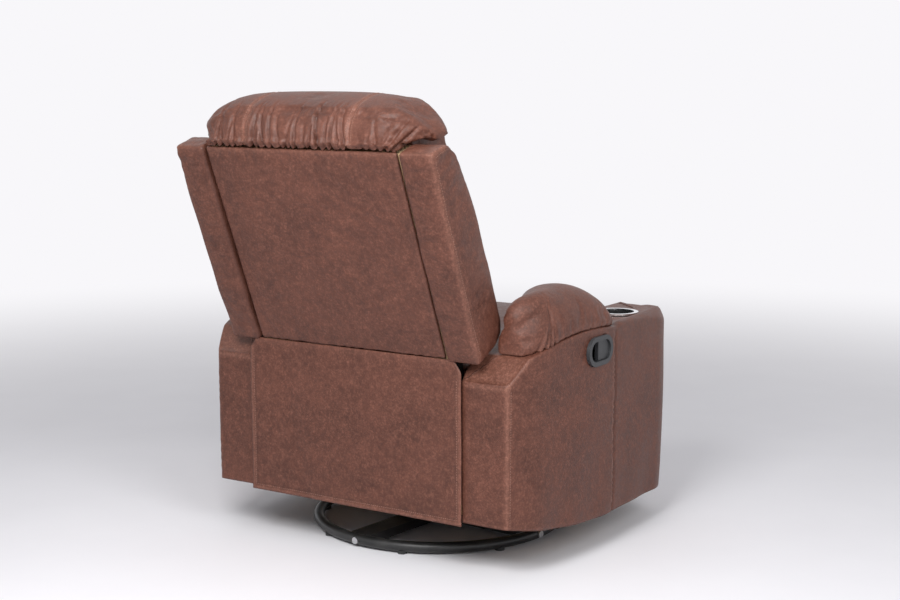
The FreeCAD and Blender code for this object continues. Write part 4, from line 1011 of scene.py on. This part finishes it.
def wrapped_grid(name, rows):
    """A grid primitive whose points are moved onto rows of places."""
    count, columns = rows.shape[:2]
    clear_selection()
    bpy.ops.mesh.primitive_grid_add(x_subdivisions=columns - 1, y_subdivisions=count - 1, size=1)
    piece = bpy.context.object
    piece.name = name
    assert len(piece.data.vertices) == count * columns
    write_points(piece, rows.reshape(-1, 3))
    edit_all()
    bpy.ops.mesh.remove_doubles(threshold=GRID_MERGE)
    bpy.ops.mesh.normals_make_consistent(inside=False)
    end_edit()
    return piece


def drop_faces(piece, unwanted):
    """Deletes the faces whose middles a test picks."""
    picked = unwanted(read_triples(piece.data.polygons, "center"))
    select(piece)
    bpy.ops.object.mode_set(mode="EDIT")
    bpy.ops.mesh.select_mode(type="FACE")
    bpy.ops.mesh.select_all(action="DESELECT")
    bpy.ops.object.mode_set(mode="OBJECT")
    piece.data.polygons.foreach_set("select", picked)
    bpy.ops.object.mode_set(mode="EDIT")
    bpy.ops.mesh.delete(type="FACE")
    bpy.ops.mesh.select_mode(type="VERT")
    bpy.ops.object.mode_set(mode="OBJECT")


# %% Arm covers with their seam, pulls and holes
CUP_PLACE = (0.366, -0.215)
CUP_HOLE = 0.0462
HANDLE_PLACE = (0.040, 0.465)
HANDLE_HALF = 0.023
HANDLE_HOLE = 0.0285
SKIN = 0.0026
LIP_HEIGHT = 0.010


def front_x(y):
    """How far out the rounded front is."""
    ahead = np.clip(ARM_FRONT + FRONT_RADIUS - y, 0, FRONT_RADIUS)
    return ARM_OUTER - FRONT_RADIUS + np.sqrt(FRONT_RADIUS ** 2 - ahead ** 2)


def cup_distance(places):
    return np.hypot(np.abs(places[:, 0]) - CUP_PLACE[0], places[:, 1] - CUP_PLACE[1])


def handle_distance(places):
    """Distance from the handle's middle line on the arm's side."""
    along = np.maximum(np.abs(places[:, 1] - HANDLE_PLACE[0]) - HANDLE_HALF, 0)
    return np.hypot(along, places[:, 2] - HANDLE_PLACE[1])


def upright_line(x, y, low, high, count):
    """Points up a line at one place."""
    return np.column_stack((np.full(count, x), np.full(count, y), np.linspace(low, high, count)))


def arm_cover(side, name):
    rows = arm_rows()
    rows[:, :, 0] *= side
    piece = wrapped_grid(f"{name}_skin", rows)
    drop_faces(piece, lambda middle: (cup_distance(middle) < CUP_HOLE) & (middle[:, 2] > 0.49))
    if side < 0:
        drop_faces(piece, lambda middle: (handle_distance(middle) < HANDLE_HOLE) & (middle[:, 0] < -0.43))
    places, normals = read_points(piece), read_normals(piece)
    out, y, z = np.abs(places[:, 0]), places[:, 1], places[:, 2]
    outer = step_between(out, 0.385, 0.43) * step_between(deck_height(y) - z, 0.004, 0.02)
    waves = 0.0012 * np.sin(46 * y + 2.5 * np.sin(9 * z)) * np.sin(5.5 * z + 1.3) ** 2
    waves += 0.0009 * np.sin(17 * y + 21 * z)
    waves *= 1 - bell(handle_distance(places), 0.06)
    seam = bell(y - SIDE_SEAM_Y, 0.0042) * outer
    puckers = 0.0012 * np.sin(z * 190 + 30 * np.sin(z * 23)) * bell(y - SIDE_SEAM_Y, 0.022)
    corner = bell(out - ARM_BACK_OUTER, 0.012) * bell(y - ARM_BACK + 0.004, 0.014)
    ripple = 0.0004 * np.sin(z * 160 + 5 * np.sin(z * 37)) * corner
    rear = step_between(y, ARM_BACK - 0.002, ARM_BACK - 0.0005)
    dents = 0.0011 * np.sin(24 * z + 31 * out) * rear * step_between(out, 0.29, 0.31)
    skin = (waves + puckers) * outer - 0.0026 * seam + ripple + dents
    places = places + normals * skin[:, None]
    lip = LIP_HEIGHT * bell(out - np.minimum(side_x(y), front_x(y)) + 0.012, 0.014)
    lip *= step_between(-y, 0.035, 0.075) * step_between(z - deck_height(y), -0.03, -0.004)
    places[:, 2] += lip
    write_points(piece, places)
    edge = bell(out - ARM_BACK_OUTER, 0.005) * bell(y - ARM_BACK + 0.003, 0.005)
    brow = bell(deck_height(y) - z - 0.003, 0.005) * step_between(y, 0.27, 0.29)
    hem = bell(z - hem_height(y), 0.006) * (z < 0.2)
    sewn = 0.5 * bell(y - SIDE_SEAM_Y - 0.005, 0.004) * outer
    paint(piece, "wear", 0.6 * edge + 0.6 * brow + sewn + 0.2 * hem)
    # Painted shade: a thin dark line in the groove of the upright side seam.
    paint(piece, "crease", 0.45 * bell(y - SIDE_SEAM_Y, 0.0028) * outer)
    apply_modifier(piece, "SOLIDIFY", thickness=SKIN, offset=-1.0)
    finish_soft(piece, "rocker", [name])
    seam_x = side * (ARM_OUTER + 0.002)
    corner_x = side * (ARM_BACK_OUTER + 0.006)
    lines = [upright_line(seam_x, SIDE_SEAM_Y + 0.007, 0.09, 0.49, 40)]
    lines.append(upright_line(corner_x, ARM_BACK - 0.008, 0.126, 0.42, 30))
    stitch_rows(f"{name}_stitches", piece, lines, "rocker")


arm_cover(1, "arm_cover_left")
arm_cover(-1, "arm_cover_right")


# %% [markdown]
# ### Arm pads
# A pad is a pillow that is sewn to the deck's edge all round. It is fullest near the rear and slopes down
# to the cup. Where its seam turns the rear corner, spare cloth stands in short pinched folds, and a small
# crease crosses its front end.

# %% Pad
def arm_pad(side, name):
    piece = soft_copy(name, f"{name}_pillow", COARSE_VOXEL)
    apply_modifier(piece, "SMOOTH", factor=0.5, iterations=4)
    places = read_points(piece)
    low = places[:, 2] - deck_height(places[:, 1])
    plump(piece, 3.0, 0.009, (low < 0.012).astype(float), 0.02)
    apply_modifier(piece, "SUBSURF", levels=1, render_levels=1)
    places, normals = read_points(piece), read_normals(piece)
    out, y, z = np.abs(places[:, 0]), places[:, 1], places[:, 2]
    low = z - deck_height(y)
    outer = step_between(out, 0.375, 0.40)
    folds = [(0.243, -0.30, 0.050, 0.0085, 0.0045), (0.228, -0.12, 0.062, 0.0100, 0.0042)]
    folds += [(0.212, 0.10, 0.048, 0.0070, 0.0045), (0.262, -0.45, 0.030, 0.0045, 0.0045)]
    folds += spread_folds(21, -0.02, 0.19, 0.036, 0.026, 0.0018)
    height = gather(y, low, folds) * outer
    front = bell(y - 0.012 + 0.3 * (z - 0.57), 0.0030) * bell(z - 0.573, 0.014) * outer
    dimples = 0.0016 * np.sin(29 * y + 14 * out) * np.sin(37 * out + 11 * y + side)
    height += dimples * step_between(low, 0.015, 0.04) - 0.0028 * front
    write_points(piece, places + normals * height[:, None])
    ridges = 70 * np.maximum(height - 0.0012, 0)
    paint(piece, "wear", 0.25 * bell(low - 0.006, 0.008) + ridges + 0.8 * bell(front - 0.5, 0.3))
    # Painted shade: the fold valleys and the seam where the pad meets the deck are darkened.
    paint(piece, "crease", 60 * np.maximum(-height - 0.0015, 0) + 0.5 * bell(low, 0.003))
    finish_soft(piece, "rocker", [name])


arm_pad(1, "arm_pad_left")
arm_pad(-1, "arm_pad_right")


# %% [markdown]
# ## Flap, seat, inner back and footrest
# The flap is the only loose cloth. It hangs from the seam under the back and hides the mechanism. It is a
# grid of points that are moved into a hanging sheet: two soft pulls run down from its ends, its lower
# edge waves a little, and its upper corners are cut away to pass the arms.

# %% Flap
FLAP_HALF = 0.2885
FLAP_LOW = 0.113
FLAP_TOP = 0.473
FLAP_FACE = 0.3512
FLAP_SKIN = 0.0026
FLAP_CUT = (0.016, 0.030)
FLAP_COLUMNS = 115
FLAP_ROWS = 73
FLAP_REAR = 0.356


def flap():
    across = np.linspace(-1, 1, FLAP_COLUMNS)
    rows = []
    for share in np.linspace(0, 1, FLAP_ROWS):
        z = FLAP_LOW + (FLAP_TOP - FLAP_LOW) * share
        cut = FLAP_CUT[0] * step_between(z, FLAP_TOP - FLAP_CUT[1], FLAP_TOP)
        x = across * (FLAP_HALF - cut)
        hang = 1 - share
        waves = 0.0017 * np.sin(15 * x + 1.2) * hang ** 0.6 * step_between(share, -0.4, 0.3)
        waves += 0.0013 * np.sin(34 * x - 6 * hang) * bell(hang - 0.25, 0.35) * step_between(hang, 0, 0.08)
        for side in (-1, 1):
            lean = x - side * (0.20 - 0.07 * hang)
            waves -= 0.0016 * bell(lean, 0.022) * step_between(hang, 0.02, 0.2)
        rows.append(np.column_stack((x, FLAP_FACE + np.clip(waves, -0.003, 0.003), np.full(len(x), z))))
    piece = wrapped_grid("flap_sheet", np.array(rows[::-1]))
    places = read_points(piece)
    rim = np.minimum(FLAP_HALF - np.abs(places[:, 0]), places[:, 2] - FLAP_LOW)
    paint(piece, "wear", 0.55 * bell(rim - 0.003, 0.006) + 0.25 * bell(places[:, 2] - FLAP_TOP, 0.010))
    # Painted shade: a thin dark line along the sides and the lower edge, 14 mm in from the edge.
    paint(piece, "crease", 0.35 * bell(rim - 0.014, 0.002))
    apply_modifier(piece, "SOLIDIFY", thickness=FLAP_SKIN, offset=-1.0)
    select(piece)
    bpy.ops.object.shade_smooth()
    piece.data.materials.append(LEATHER)
    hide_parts("back_flap")
    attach(piece, "flap")
    edge = FLAP_HALF - 0.011
    low = FLAP_LOW + 0.012
    hem = [(x, FLAP_REAR, z) for x, z in ((-edge, 0.43), (-edge, low), (edge, low), (edge, 0.43))]
    stitches = stitch_rows("flap_stitches", piece, [hem], "flap")


flap()


# %% [markdown]
# The seat, the inner back and the footrest pad are foam under the same cover. The cloth simulation fills
# each one out between its sewn edges. Their faces that touch a neighbour, such as the seat's sides along
# the arms, are held.

# %% Foam cushions
def cushion(node, name, body, pressure, cap, held, shape):
    """Blows up a copy of a CAD cushion, then adds the heights that shape(x, y, z) gives
    for its folds and seams."""
    piece = soft_copy(node, name, COARSE_VOXEL)
    apply_modifier(piece, "SMOOTH", factor=0.5, iterations=4)
    plump(piece, pressure, cap, held(*read_points(piece).T).astype(float), 0.02)
    apply_modifier(piece, "SUBSURF", levels=1, render_levels=1)
    places, normals = read_points(piece), read_normals(piece)
    height = shape(*places.T)
    write_points(piece, places + normals * height[:, None])
    paint(piece, "wear", 90 * np.maximum(height - 0.001, 0))
    # Painted shade: the fold valleys and seam grooves are darkened.
    paint(piece, "crease", 70 * np.maximum(-height - 0.0015, 0))
    finish_soft(piece, body, [node])
    return piece


# %% Seat
SEAT_SEAM_Y = -0.330
SEAT_SIDE = 0.262
SEAT_LOW = 0.40
SEAT_REAR = 0.19


def seat_held(x, y, z):
    return (np.abs(x) > SEAT_SIDE) | (z < SEAT_LOW) | (y > SEAT_REAR)


def seat_shape(x, y, z):
    top = step_between(z, 0.42, 0.46)
    seam = bell(y - SEAT_SEAM_Y, 0.004) * step_between(z, 0.38, 0.41)
    folds = gather(x, SEAT_SEAM_Y - 0.004 - y, spread_folds(31, -0.24, 0.24, 0.024, 0.035, 0.0028))
    behind = gather(x, y - SEAT_SEAM_Y - 0.004, spread_folds(32, -0.24, 0.24, 0.030, 0.045, 0.0022))
    sag = 0.0014 * np.sin(13 * x + 9 * y) * np.sin(17 * y - 7 * x) * top
    return (folds * (y < SEAT_SEAM_Y) + behind * (y > SEAT_SEAM_Y)) * top - 0.004 * seam + sag


seat = cushion("seat_cushion", "seat_pillow", "seat", 2.5, 0.010, seat_held, seat_shape)
seat_line = [(x, SEAT_SEAM_Y + 0.009, 0.50) for x in np.linspace(-0.245, 0.245, 40)]
stitch_rows("seat_stitches", seat, [seat_line], "seat")


# %% Inner back
INNER_SIDE = 0.243
INNER_REAR = -0.045
CHANNELS = 3


def inner_held(x, y, z):
    v = to_back(np.column_stack((x, y, z)))[:, 1]
    return (np.abs(x) > INNER_SIDE) | (v > INNER_REAR)


def inner_shape(x, y, z):
    _, v, u = to_back(np.column_stack((x, y, z))).T
    front = step_between(-v, 0.06, 0.09)
    low = u.min() + 0.004
    step = (u.max() - low) / CHANNELS
    height = 0.0013 * np.sin(15 * x + 12 * u) * np.sin(19 * u - 6 * x)
    for index in range(1, CHANNELS):
        up = u - low - index * step
        height += gather(x, np.abs(up), spread_folds(40 + index, -0.22, 0.22, 0.026, 0.032, 0.0030))
        height -= 0.003 * bell(up, 0.005)
    return height * front


cushion("back_cushion", "inner_back_pillow", "back", 2.5, 0.008, inner_held, inner_shape)


# %% Footrest pad
OTTOMAN_SIDE = 0.262
OTTOMAN_LOW = 0.112
OTTOMAN_TOP = 0.331


def ottoman_rim(x, z):
    """Distance from the pad's sewn edge."""
    return np.minimum(OTTOMAN_SIDE - np.abs(x), np.minimum(z - OTTOMAN_LOW, OTTOMAN_TOP - z))


def ottoman_held(x, y, z):
    return (y > -0.335) | (ottoman_rim(x, z) < 0.006)


def ottoman_shape(x, y, z):
    front = step_between(-y, 0.333, 0.345)
    inner = step_between(ottoman_rim(x, z), 0, 0.01)
    folds = gather(x, OTTOMAN_TOP - z, spread_folds(51, -0.23, 0.23, 0.030, 0.035, 0.0024))
    folds += gather(x, z - OTTOMAN_LOW, spread_folds(52, -0.23, 0.23, 0.034, 0.030, 0.0022))
    return (folds + 0.0011 * np.sin(16 * x + 13 * z) * np.sin(21 * z)) * front * inner


cushion("ottoman_cushion", "footrest_pillow", "ottoman", 1.5, 0.006, ottoman_held, ottoman_shape)
